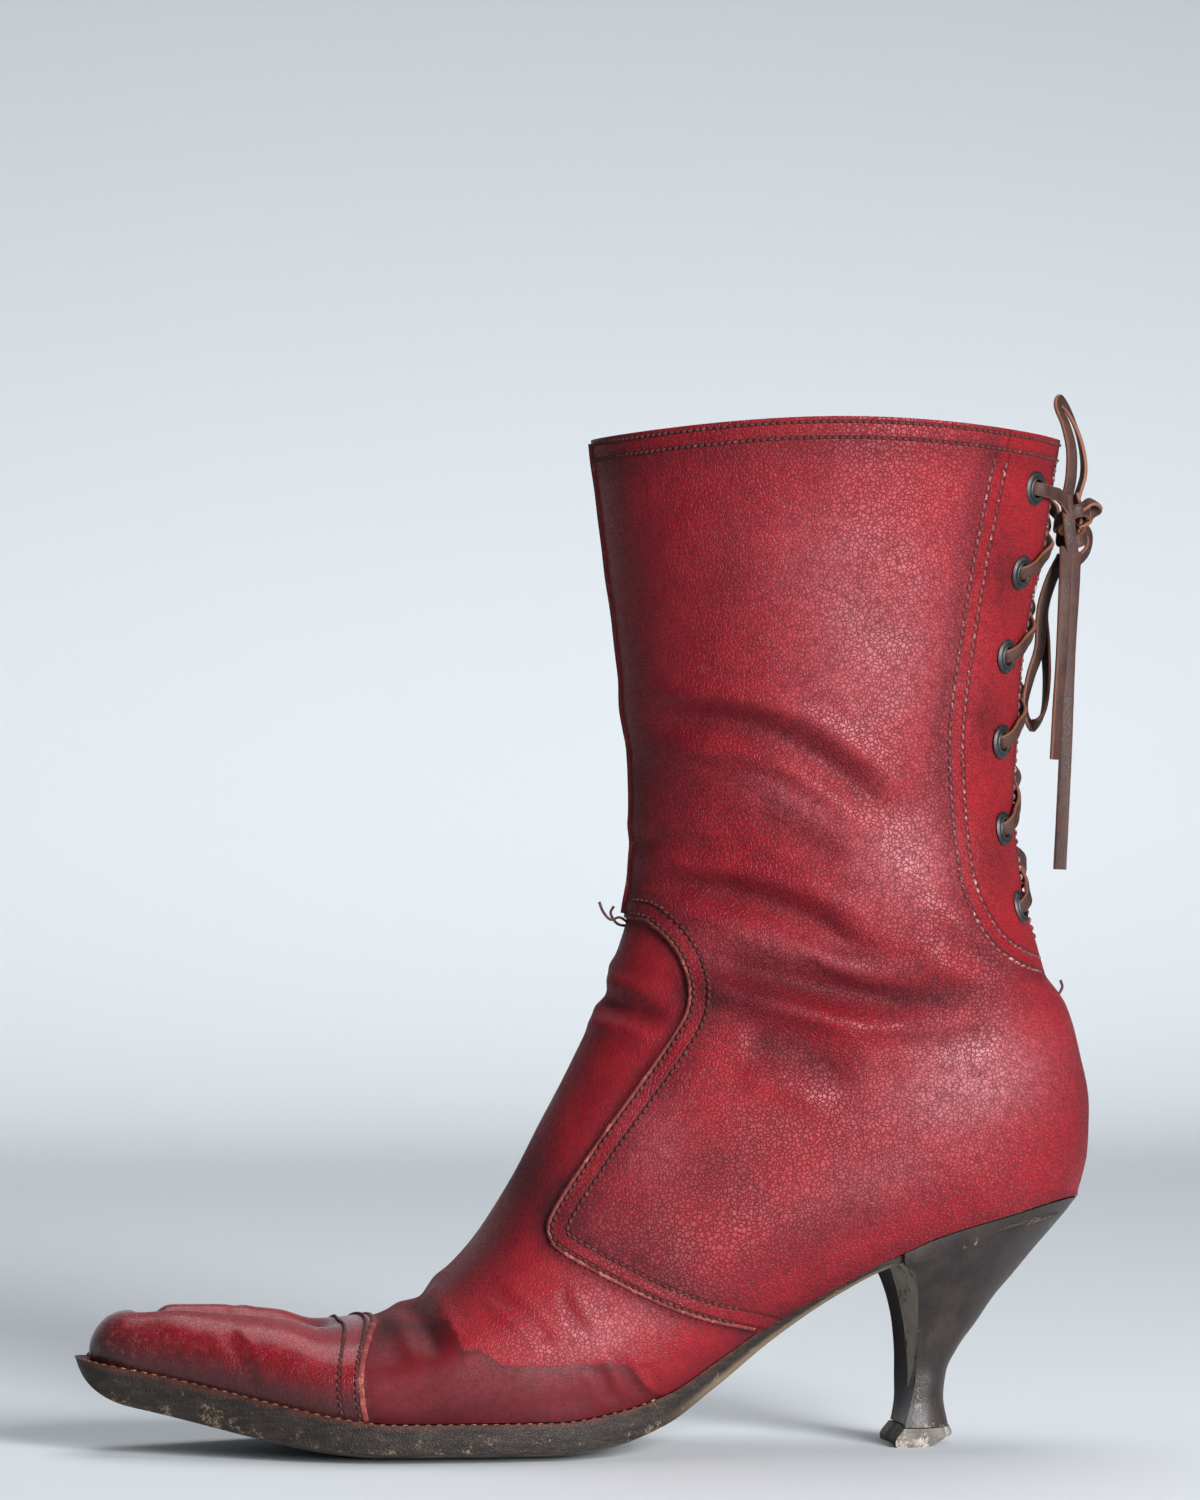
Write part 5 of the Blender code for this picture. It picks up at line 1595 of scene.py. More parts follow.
@dataclass
class Upper:
    """The upper: vamp, toe cap and quarters as one wall, with its lining, seams and stitches.

    Attributes:
        last: the boot's form.
        bench: where its pieces are made.
        columns: grid points from the sole to the top line, on each side.
        crowding: how much closer they are at both ends.
        foot_rows: grid rows of the toe, the foot and the seat.
        bridge_rows: between foot and shaft.
        seam_rows: of the shaft below the back opening.
        open_rows: of the shaft beside it.
        wall: thickness of leather and lining.
        overlay: how far toe cap and quarters stand over the vamp.
        eyelet_radius: of the holes for the eyelets.
        hole_depth: of those holes.
        medial_shift: by which the creases are moved on the medial side, in x and z.
        medial_share: how deep they are there.
        cap_end: x behind which the toe cap doesn't count.
        stain_end: x behind which the stain doesn't count.
        facing_low: z below which the facing doesn't count.
        ease_rounds: how often the turn between foot and shaft is averaged.
        ease_reach: rows over which that turn is eased.
        cast_from: distance from the middle plane at which rays start.
        far: stands for any distance that doesn't count.
    """

    last: Last
    bench: Bench
    columns: int = 89
    crowding: float = 0.4
    foot_rows: tuple[int, int, int] = (23, 186, 28)
    bridge_rows: int = 9
    seam_rows: int = 44
    open_rows: int = 90
    wall: float = 1.8
    overlay: float = 1.0
    eyelet_radius: float = 2.9
    hole_depth: float = 2.4
    medial_shift: tuple[float, float] = (3.0, 3.5)
    medial_share: float = 0.8
    cap_end: float = -44.0
    stain_end: float = 24.0
    facing_low: float = 126.0
    ease_rounds: int = 60
    ease_reach: float = 14.0
    cast_from: float = 150.0
    far: float = 20.0

    def build(self, eyelets: Array) -> None:
        """Works out the whole form around the eyelets' centres."""
        self.form()
        self.relieve(eyelets)

    def form(self) -> None:
        """Works out the grid, its normals and the distances that reliefs and finishes follow."""
        stations = self.last.stations(*self.foot_rows)
        low = np.linspace(0, self.last.opening, self.seam_rows + 1)
        high = np.linspace(self.last.opening, len(SHAFT) - 1, self.open_rows + 1)[1:]
        halves = []
        for side in Side:
            foot = self.last.resampled(self.last.foot_half(stations, side), self.columns, self.crowding)
            shaft = self.last.shaft_half(np.concatenate([low, high]), side)
            shaft = self.last.resampled(shaft, self.columns, self.crowding)
            t = np.linspace(0, 1, self.bridge_rows + 2)[1:-1, None, None]
            halves.append(np.concatenate([foot, foot[-1] * (1 - t) + shaft[0] * t, shaft]))
        self.seat_row = len(stations) - 1
        self.open_row = len(stations) + self.bridge_rows + self.seam_rows
        self.ridge = self.columns - 1
        self.base = self.eased(np.concatenate([halves[0], halves[1][:, -2::-1]], axis=1))
        self.base_normals = self.normals_of(self.base)
        self.measure()

    def eased(self, grid: Array) -> Array:
        """The grid with the turn between foot and shaft eased: neighbouring rows are averaged there.

        Args:
            grid: (rows, columns, 3) points.

        Returns:
            The eased grid; its edges stay.
        """
        soft = grid.copy()
        for _ in range(self.ease_rounds):
            soft[1:-1] = 0.25 * soft[:-2] + 0.5 * soft[1:-1] + 0.25 * soft[2:]
        rows, columns = np.arange(grid.shape[0]), np.arange(grid.shape[1])
        edge = step01(np.minimum(columns, columns[::-1]) / 8.0)
        share = (near(rows, self.seat_row + 4, self.ease_reach)[:, None] * edge[None])[..., None]
        return grid * (1 - share) + soft * share

    def normals_of(self, grid: Array) -> Array:
        """Outward normals: the cross product of the directions along rows and columns.

        Args:
            grid: (rows, columns, 3) points.

        Returns:
            One normal for each point; the two edges of the back seam share theirs.
        """
        normals = unit(np.cross(np.gradient(grid, axis=0), np.gradient(grid, axis=1)))
        seam = slice(self.seat_row, self.open_row + 1)
        shared = unit(normals[seam, 0] + normals[seam, -1])
        normals[seam, 0] = normals[seam, -1] = shared
        return normals

    def from_line(self, line: Sequence[Point], count: int) -> Array:
        """Distance of the grid's points from a side-view curve, positive on its left."""
        flat = self.base[..., (0, 2)].reshape(-1, 2)
        return line_distance(flat, curve_through(line, count))[0].reshape(self.base.shape[:2])

    def measure(self) -> None:
        """Distances over the grid: from the seams, the collar, the back opening and the sole."""
        grid, shape = self.base, self.base.shape[:2]
        x, z = grid[..., 0], grid[..., 2]
        self.quarter = self.from_line(QUARTER_SEAM, 120)
        cap = -self.from_line(CAP_SEAM, 50)
        self.cap = np.where(x < self.cap_end, cap, np.minimum(cap, -self.far))
        on_vamp = (x < self.stain_end) & (self.cap < 0) & (self.quarter < 0)
        self.stain = np.where(on_vamp, -self.from_line(STAIN_EDGE, 90), -self.far)
        self.facing = np.where(z > self.facing_low, self.from_line(FACING_SEAM, 60), -self.far)
        down = np.linalg.norm(np.diff(grid, axis=0), axis=2)[::-1]
        self.collar = np.concatenate([np.zeros((1, shape[1])), np.cumsum(down, axis=0)])[::-1]
        across = np.linalg.norm(np.diff(grid, axis=1), axis=2)
        from_first = np.concatenate([np.zeros((shape[0], 1)), np.cumsum(across, axis=1)], axis=1)
        self.welt = np.minimum(from_first, from_first[:, -1:] - from_first)
        self.from_ridge = np.abs(from_first - from_first[:, self.ridge : self.ridge + 1])
        edge = np.concatenate([grid[self.open_row :, 0], grid[self.open_row :, -1]])
        parts = np.array_split(grid.reshape(-1, 3), shape[0] * shape[1] // 8000)
        gaps = [np.sqrt(((part[:, None] - edge) ** 2).sum(2).min(1)) for part in parts]
        self.opening = np.concatenate(gaps).reshape(shape)

    def creased(self, shift: tuple[float, float]) -> Array:
        """Depth of all creases over the grid, and a mask of their troughs.

        A trough falls off as exp(-|d/width|^1.7) with the distance d from its line, with swells
        beside it, and fades towards both ends of the line.

        Args:
            shift: by which all creases are moved, in x and z.

        Returns:
            Heights in millimetres, then the mask.
        """
        flat = self.base[..., (0, 2)].reshape(-1, 2) - shift
        height, mask = np.zeros(len(flat)), np.zeros(len(flat))
        for crease in CREASES:
            off, share = line_distance(flat, curve_through(crease.points, 24))
            away = np.abs(off) / crease.width
            keep = step01(share / crease.fade_in) * step01((1 - share) / crease.fade_out)
            trough = np.exp(-(away**1.7)) * keep
            height += crease.swell * near(away, 2.0, 0.8) * keep - crease.depth * trough
            mask = np.maximum(mask, trough * min(1.0, crease.depth / 1.5))
        return np.stack([height, mask]).reshape(2, *self.base.shape[:2])

    def patched(self, patches: Sequence[Oval]) -> Array:
        """Soft oval patches over the grid, a little weaker on the medial side."""
        x, y, z = np.moveaxis(self.base, 2, 0)
        return ovals(x, z, patches) * np.where(y < 0, 1.0, self.medial_share)

    def relieve(self, eyelets: Array) -> None:
        """Displaces the skin along its normals: overlays, creases, uneven leather, eyelet holes.

        Args:
            eyelets: centres of the eyelets.
        """
        x, y, z = np.moveaxis(self.base, 2, 0)
        medial = step01((y + 8.0) / 16.0)
        seen, hidden = self.creased((0.0, 0.0)), self.creased(self.medial_shift)
        fold, self.fold_mask = seen * (1 - medial) + self.medial_share * hidden * medial
        calm = np.minimum(step01(self.welt / 6.0) + np.where(z > 100.0, 1.0, 0.0), 1.0)
        calm = calm * step01((self.opening - 1.0) / 9.0) * step01(self.collar / 12.0)
        uneven = 0.22 * np.sin(x / 11.0 + z / 17.0 + y / 31.0) * np.sin(z / 9.0 - x / 23.0)
        uneven += 0.12 * np.sin(x / 4.7 - z / 6.1) * np.sin(z / 5.3 + x / 9.7 + y / 13.0)
        laid = step01(self.quarter / 0.9 + 0.5) + step01(self.cap / 0.9 + 0.5)
        away = np.linalg.norm(self.base[:, :, None] - eyelets, axis=3).min(axis=2)
        self.hole = step01((self.eyelet_radius + 0.4 - away) / 0.8)
        self.height = self.overlay * laid + calm * (fold + uneven) - self.hole_depth * self.hole
        self.skin = self.base + self.base_normals * self.height[..., None]
        self.skin_normals = self.normals_of(self.skin)
        faces = grid_quads(numbered(self.skin)).tolist()
        self.tree = BVHTree.FromPolygons(self.skin.reshape(-1, 3).tolist(), faces)

    def finish_values(self) -> dict[str, Array]:
        """Values for the leather's finish, over the grid.

        Burnish sums the dark patches (mostly painted shade), painted shade down the front, in the folds
        and in the sunken toe, a darkening towards the foot of the wall, and the bells along the seams.

        Returns:
            Named arrays: distances from the seams and the stain's edge, burnish with painted shade, painted
                sheen, dirt with painted shade, and chafe.
        """
        x, z = self.base[..., 0], self.base[..., 2]
        values = {name: getattr(self, name) for name in ("quarter", "cap", "collar", "facing", "opening")}
        on_cap = step01(self.cap / 2.0 + 0.5)
        # Painted shade down the front of the shaft, where the light falls off
        front = 0.13 * near(self.from_ridge, 0.0, 20.0) * step01((z - 130.0) / 20.0)
        front *= 0.2 + 0.8 * step01((242.0 - z) / 26.0)
        # Darker towards the foot of the wall, most of all on the toe cap
        low = 1.2 * near(self.welt, 0.0, 9.5) * on_cap + 0.45 * near(self.welt, 0.0, 5.0) * (1 - on_cap)
        # Painted shade in the sunken top of the toe, between its two ridges
        sunk = step01((x + 119.0) / 6.0) * step01((-68.0 - x) / 12.0) * near(self.from_ridge, 0.0, 9.0)
        # Burnish with painted shade: the dark patches, the front, the folds' troughs, the foot and the toe's
        # hollow
        burnish = self.patched(DARK_PATCHES) + front + 0.42 * self.fold_mask + 0.75 * low + 0.7 * sunk
        for shade in SEAM_SHADES:
            seam = values[shade.seam]
            bell = shade.amount * near(seam, shade.at, shade.reach)
            burnish += np.where(shade.behind & (seam >= 0), 0.0, bell)
        tip = near(x, -134.0, 14.0)
        return values | {
            "stain": np.clip(self.stain, -self.far, self.far),
            "burnish": np.clip(burnish, 0.0, 0.92),
            # Painted sheen, from the pale patches
            "rub": np.clip(self.patched(SHEEN_PATCHES), 0.0, 1.0),
            # Dirt at the tip, painted shade in the eyelets' holes, darker along the toe cap's foot
            "grime": np.clip(0.18 * tip + 0.95 * self.hole + 0.25 * low * on_cap, 0.0, 0.95),
            "chafe": np.clip(0.14 * on_cap * near(z, 34.0, 6.0) + 0.16 * tip + 0.04 * on_cap, 0.0, 1.0),
        }

    def shell(self) -> Patch:
        """The closed wall: fine skin outside, a lining of every second point inside, rims between.

        Returns:
            The wall; its faces take leather, lining or rim.
        """
        seat, opened = self.seat_row, self.open_row
        sunk = np.minimum(self.height, 0.0) * (1 - self.hole) - self.wall
        lining = (self.base + self.base_normals * sunk[..., None])[::2, ::2]
        outer = numbered(self.base)
        inner = outer.size + numbered(lining)
        for index, first, last in ((outer, seat, opened), (inner, seat // 2, opened // 2)):
            index[first : last + 1, -1] = index[first : last + 1, 0]
        rims = [self.rim(outer[0], inner[0], False), self.rim(outer[-1], inner[-1], True)]
        for fine, coarse in (
            (slice(seat + 1), slice(seat // 2 + 1)),
            (slice(opened, None), slice(opened // 2, None)),
        ):
            rims.append(self.rim(outer[fine, 0], inner[coarse, 0], True))
            rims.append(self.rim(outer[fine, -1], inner[coarse, -1], False))
        parts = [grid_quads(outer), grid_quads(inner)[:, ::-1], np.vstack(rims)]
        points = np.vstack([self.skin.reshape(-1, 3), lining.reshape(-1, 3)])
        used = np.zeros(len(points), bool)
        used[np.concatenate([part.ravel() for part in parts])] = True
        number = np.cumsum(used) - 1
        faces = [face for part in parts for face in number[part].tolist()]
        slots = [slot for slot, part in enumerate(parts) for _ in part]
        values = {}
        for name, value in self.finish_values().items():
            values[name] = np.concatenate([value.ravel(), value[::2, ::2].ravel()])[used]
        return Patch(points[used], faces, values, slots)

    @staticmethod
    def rim(fine: Array, coarse: Array, turned: bool) -> Array:
        """Five-sided faces between an edge of the skin and the lining's, half as dense; turned or not."""
        faces = np.stack([fine[:-2:2], fine[1:-1:2], fine[2::2], coarse[1:], coarse[:-1]], axis=1)
        return faces[:, ::-1] if turned else faces

    def cast(self, line: Array, side: Side) -> Trail:
        """A side-view line laid onto the skin, along y.

        Args:
            line: (x, z) points.
            side: which side of the boot.

        Returns:
            The line on the skin, without the points that miss it.
        """
        hits = []
        for x, z in line:
            start = Vector((x, side.value * self.cast_from, z))
            inwards = Vector((0.0, -side.value, 0.0))
            place, normal, _, _ = self.tree.ray_cast(start, inwards, self.cast_from - 1.0)
            if place is not None:
                hits.append([*place, *normal])
        return Trail.of(np.array(hits))

    def level_trail(
        self, level_of: Array, level: float, part: tuple[slice, slice], across: bool = False
    ) -> Trail:
        """A line on the skin where a distance has a given value: its first crossing in each column.

        Args:
            level_of: the distance over the grid.
            level: its value on the line.
            part: rows and columns to look in.
            across: whether rows and columns change places.

        Returns:
            The line.
        """
        both = np.concatenate([self.skin, self.skin_normals], axis=2)[part]
        off = level_of[part] - level
        if across:
            both, off = both.transpose(1, 0, 2), off.T
        change = off[:-1] * off[1:] <= 0
        cols = np.flatnonzero(change.any(axis=0))
        rows = change[:, cols].argmax(axis=0)
        a, b = off[rows, cols], off[rows + 1, cols]
        t = (a / np.where(a == b, 1.0, a - b))[:, None]
        return Trail.of(both[rows, cols] * (1 - t) + both[rows + 1, cols] * t)

    def stitch_rows(self) -> dict[str, list[Trail]]:
        """The lines of all stitch rows, by seam.

        Returns:
            Lists of trails: quarter, cap, collar and facing.
        """
        shaft, toe = (slice(self.open_row, None), slice(None)), (slice(20, self.seat_row), slice(3, -3))
        opened = slice(self.open_row + 6, -3)
        first = self.level_trail(self.opening, OPENING_ROW, (opened, slice(None, 24)), across=True)
        last = self.level_trail(self.opening, OPENING_ROW, (opened, slice(-24, None)), across=True)
        rows: dict[str, list[Trail]] = {
            "quarter": [],
            "cap": [self.level_trail(self.cap, row, toe) for row in CAP_ROWS],
            "collar": [self.level_trail(self.collar, row, shaft) for row in COLLAR_ROWS],
            "facing": [first, Trail(last.points[::-1], last.normals[::-1])],
        }
        for side in Side:
            for row in QUARTER_ROWS:
                rows["quarter"].append(self.cast(beside(QUARTER_SEAM, row, 200)[22:176], side))
            for row in FACING_ROWS:
                rows["facing"].append(self.cast(beside(FACING_SEAM, row, 120)[8:-1], side))
        return rows

    def dress(self) -> None:
        """Makes the wall, the raw edges, the front seam, the loose thread ends and the stitches."""
        wall = (Look.LEATHER, Look.LINING, Look.RIM)
        self.bench.piece("upper_leather", self.shell(), "red_leather", *wall, node="upper")
        lines = [self.cast(beside(QUARTER_SEAM, 0.15, 260)[22:236], side).evenly(240) for side in Side]
        self.trim("quarter_raw_edges", joined([strip_patch(line, 1.1, 0.42) for line in lines]), Look.RAW)
        toe = self.level_trail(self.cap, 0.1, (slice(20, self.seat_row), slice(2, -2))).evenly(200)
        self.trim("toe_cap_raw_edge", strip_patch(toe, 1.7, 0.6), Look.RAW)
        on_shaft = self.quarter[:, self.ridge] > 0.5
        line = np.hstack([self.skin[:, self.ridge], self.skin_normals[:, self.ridge]])[on_shaft]
        front = Trail.of(line[:-2]).evenly(120)
        self.trim("front_seam", strip_patch(front, 1.7, 0.8), Look.SEAM)
        top = Trail(front.points + front.normals * 0.7, front.normals)
        self.trim("front_raw_edge", strip_patch(top, 0.7, 0.4, 0.3), Look.RAW)
        thread = Lace(0.7, 0.6)
        ends = [thread.strand(curve_through(route, 24), (0.2, -1.0, 0.1)) for route in THREAD_ENDS]
        self.trim("loose_threads", joined(ends), Look.THREAD)
        pitches = {"quarter": 2.1, "cap": 2.1, "collar": 1.9, "facing": 2.45}
        for name, trails in self.stitch_rows().items():
            threads = Stitching(pitches[name], 0.8 * pitches[name])
            # The facing's stitches take the thread with a painted sheen
            look = Look.DUSTY_THREAD if name == "facing" else Look.THREAD
            self.trim(f"{name}_stitches", joined([threads.row(trail) for trail in trails]), look)

    def trim(self, name: str, patch: Patch, look: Look) -> None:
        """Makes a piece that goes with the leather."""
        self.bench.piece(name, patch, "red_leather", look)


# Eyelets and lace


@dataclass
class Eyelets:
    """Turned metal eyelets in the two back facings.

    Attributes:
        bench: where they are made.
        flange: radius of the flange.
        bore: radius of the hole.
        barrel: outer radius of the barrel.
        lip: half the width of the rolled lip.
        rim: height of the flange at that lip.
        height: of the lip over the leather.
        depth: of the barrel below it.
        dome: how far the flange bulges.
        flare: how far the barrel's foot is spread.
        count: eyelets on each side.
    """

    bench: Bench
    flange: float = 4.75
    bore: float = 2.45
    barrel: float = 3.05
    lip: float = 0.45
    rim: float = 0.75
    height: float = 1.15
    depth: float = 3.3
    dome: float = 0.18
    flare: float = 0.55
    count: int = 6

    def centres(self) -> Array:
        """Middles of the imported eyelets' boxes, lateral ones first."""
        boxes = [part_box(f"eyelet_{side.word}_{n}") for side in Side for n in range(1, self.count + 1)]
        return np.array([np.add(low, high) / 2 / MM for low, high in boxes])

    def seat(self, upper: Upper) -> None:
        """Finds each eyelet's place on the leather and the way it looks.

        Args:
            upper: the finished form.
        """
        self.places: dict[tuple[Side, int], Array] = {}
        self.axes: dict[tuple[Side, int], Array] = {}
        points = upper.base + upper.base_normals * upper.overlay
        for i, centre in enumerate(self.centres()):
            key = (list(Side)[i // self.count], i % self.count + 1)
            far = np.linalg.norm(points - centre, axis=2)
            nearest = np.unravel_index(far.argmin(), far.shape)
            self.axes[key] = axis = upper.base_normals[nearest]
            self.places[key] = centre + axis * float((points[nearest] - centre) @ axis)

    def ring(self) -> Array:
        """Half section of an eyelet: a rolled lip round the hole, a domed flange, a flared barrel.

        Returns:
            Rows of a radius and a height.
        """
        roll, share = np.linspace(0, math.pi, 7), np.linspace(0, 1, 8)[1:]
        inner = self.bore + 2 * self.lip
        lip_z = self.rim + (self.height - self.rim) * np.sin(roll)
        lip = [self.bore + self.lip - self.lip * np.cos(roll), lip_z]
        dome_z = self.rim + self.dome * np.sin(math.pi * share) - 0.55 * share**3
        dome = [inner + (self.flange - inner) * share, dome_z]
        low = -self.depth
        under = [(self.flange - 0.12, 0.0), (self.barrel, -0.05), (self.barrel, low + 0.8)]
        flared = [(self.barrel + self.flare, low + 0.25), (self.barrel + 0.35, low), (self.bore, low + 0.2)]
        return np.vstack([np.transpose(lip), np.transpose(dome), under, flared])

    def patch(self, place: Array, axis: Array) -> Patch:
        """An eyelet: its half section turned round its axis.

        Args:
            place: its middle on the leather.
            axis: the way it looks.

        Returns:
            The eyelet as a patch.
        """
        radius, height = self.ring().T[:, None, :, None]
        turn = np.linspace(0, 2 * math.pi, 40, endpoint=False)[:, None]
        side = unit(np.cross(axis, [0.0, 0.0, 1.0]))
        spoke = np.cos(turn) * side + np.sin(turn) * np.cross(axis, side)
        rings = place + radius * spoke[:, None] + height * axis
        index = np.pad(numbered(rings), ((0, 1), (0, 1)), mode="wrap")
        return Patch(rings.reshape(-1, 3), grid_quads(index).tolist())

    def dress(self) -> None:
        """Makes the eyelets."""
        for (side, number), place in self.places.items():
            name, patch = f"{side.word}_{number}", self.patch(place, self.axes[side, number])
            self.bench.piece(f"ring_{name}", patch, "eyelet_steel", Look.GUNMETAL, node=f"eyelet_{name}")


@dataclass
class Lacing:
    """The lace: crossings over the back opening, knot, bow loops and ends.

    Attributes:
        bench: where its pieces are made.
        lace: its section.
        eyelets: what it is threaded through.
        upper: the facings that it ties.
        over: how far one strand of a crossing runs over the other.
        knot_ends: where the two top strands enter the knot.
    """

    bench: Bench
    lace: Lace
    eyelets: Eyelets
    upper: Upper
    over: float = 1.6
    knot_ends: tuple[Point, Point] = ((131.0, -4.0, 252.0), (131.2, 3.6, 250.0))

    def edge(self, side: Side, height: float) -> tuple[Array, Array]:
        """Point and normal of the back opening's edge at a height.

        Args:
            side: which side.
            height: z of the point.

        Returns:
            The point and the outward normal.
        """
        at = (slice(self.upper.open_row, None), 0 if side is Side.LATERAL else -1)
        both = np.hstack([self.upper.skin[at], self.upper.base_normals[at]])
        read = np.array([np.interp(height, both[:, 2], row) for row in both.T])
        return read[:3], unit(read[3:])

    def strand(self, route: Sequence[Any], facing: Sequence[Any], count: int) -> Patch:
        """A strand of lace through the points of a route, with a facing for each."""
        look = unit(curve_through(np.array(facing, float), count))
        return self.lace.strand(curve_through(route, count), look)

    def bar(self, side: Side, number: int, lift: float) -> Patch:
        """A strand from an eyelet, over the edge, across the gap and under the other facing.

        Args:
            side: where it starts.
            number: the lower eyelet; it ends at the next one up on the other side.
            lift: how far it runs over the strand that it crosses.

        Returns:
            The strand.
        """
        other = Side.MEDIAL if side is Side.LATERAL else Side.LATERAL
        a, out_a = self.eyelets.places[side, number], self.eyelets.axes[side, number]
        b, out_b = self.eyelets.places[other, number - 1], self.eyelets.axes[other, number - 1]
        edge_a, edge_out_a = self.edge(side, a[2] + 0.30 * (b[2] - a[2]))
        edge_b, edge_out_b = self.edge(other, a[2] + 0.80 * (b[2] - a[2]))
        half = self.lace.thickness / 2
        to_edge, back = unit(edge_a - a), np.array([1.0, 0.0, 0.0])
        between, tilt = unit(out_a + edge_out_a), np.array([0.0, 0.0, -0.8])
        # Up through the eyelet, along the facing, over its edge, across the gap, in behind the other
        route = [
            a - out_a * 2.6 - to_edge * 0.6,
            a + out_a * 0.2 - to_edge * 0.3,
            0.75 * a + 0.25 * edge_a + out_a * (1.6 + half),
            0.35 * a + 0.65 * edge_a + between * (1.2 + half),
            edge_a + edge_out_a * (0.6 + half) + to_edge * 0.4,
            0.68 * edge_a + 0.32 * edge_b + back * (0.9 + lift),
            0.5 * (edge_a + edge_b) + back * (0.8 + lift),
            0.25 * edge_a + 0.75 * edge_b + back * (-0.8 + 0.6 * lift),
            edge_b - edge_out_b * 3.6,
            0.45 * edge_b + 0.55 * b - out_b * 4.6,
            b - out_b * 4.2,
        ]
        facing = [out_a * 0.2 - to_edge, out_a - to_edge, out_a + tilt, between + tilt]
        facing += [edge_out_a + 0.6 * tilt, back, back, back, edge_out_b, out_b, out_b]
        return self.strand(route, facing, 72)

    def lowest(self) -> Patch:
        """The bar inside the boot between the two lowest eyelets.

        Returns:
            The strand.
        """
        keys = [(side, self.eyelets.count) for side in Side]
        first, last = (self.eyelets.places[key] - self.eyelets.axes[key] * 3.6 for key in keys)
        middle = (first + last) / 2 - np.array([2.0, 0.0, 0.0])
        return self.lace.strand(curve_through([first, middle, last], 24), (1.0, 0.0, 0.2))

    def top_strand(self, side: Side, knot: Point) -> Patch:
        """A strand from a top eyelet, over the edge, to the knot.

        Args:
            side: which side.
            knot: where it enters the knot.

        Returns:
            The strand.
        """
        a, out = self.eyelets.places[side, 1], self.eyelets.axes[side, 1]
        edge, edge_out = self.edge(side, a[2] - 1.0)
        to_edge, end = unit(edge - a), np.array(knot)
        route = [
            a - out * 2.6 - to_edge * 0.6,
            a + out * 0.2 - to_edge * 0.3,
            a + out * 2.2 + to_edge * 2.2,
            a + out * 2.0 + to_edge * 5.0,
            0.3 * a + 0.7 * edge + unit(out + edge_out) * 1.5,
            edge + edge_out * 1.4 + to_edge * 1.0,
            0.45 * edge + 0.55 * end + np.array([1.4, 0.0, 0.6]),
            end,
        ]
        facing = [out * 0.2 - to_edge, out - to_edge, out, out, out + edge_out, edge_out]
        return self.strand(route, [*facing, (1.0, 0.0, 0.4), (1.0, 0.0, 0.2)], 56)

    def knot(self) -> Patch:
        """The knot: bands round the strands that sway as a cosine, and the turns between.

        Returns:
            The knot with the two strands that lead into it.
        """
        turn = np.linspace(0, 2 * math.pi, 60)
        around = np.stack([np.cos(turn), np.sin(turn), np.full(60, 0.12)], axis=1)
        strands = []
        for middle, reach, phase in KNOT_BANDS:
            sway = np.stack([np.cos(turn), np.sin(turn), np.cos(turn + phase)], axis=1)
            strands.append(self.lace.strand(np.array(middle) + np.array(reach) * sway, around))
        strands += [self.lace.strand(curve_through(route, 40), facing) for facing, route in KNOT_TURNS]
        strands += [self.top_strand(side, end) for side, end in zip(Side, self.knot_ends)]
        return joined(strands)

    def dress(self) -> None:
        """Makes the crossings and the knot, then each loop and end as a strand of its own."""
        for number in range(1, self.eyelets.count):
            strands = [self.bar(Side.LATERAL, number + 1, 0.0), self.bar(Side.MEDIAL, number + 1, self.over)]
            if number == self.eyelets.count - 1:
                strands.append(self.lowest())
            self.piece(f"lace_pair_{number}", joined(strands), f"lace_cross_{number}")
        self.piece("knot_turns", self.knot(), "lace_knot")
        for cord in CORDS:
            path = curve_through(cord.route, 90)
            t = step01(np.linspace(0, 1, 90))[:, None]
            facing = unit(np.array(cord.first) * (1 - t) + np.array(cord.last) * t)
            self.piece(cord.name, self.lace.strand(path, facing), cord.node)
            float(along_of(path)[-1]) * MM

    def piece(self, name: str, patch: Patch, node: str) -> bpy.types.Object:
        """Makes a piece of lace."""
        return self.bench.piece(name, patch, "lace_leather", Look.LACE, node=node)


# Sole and heel


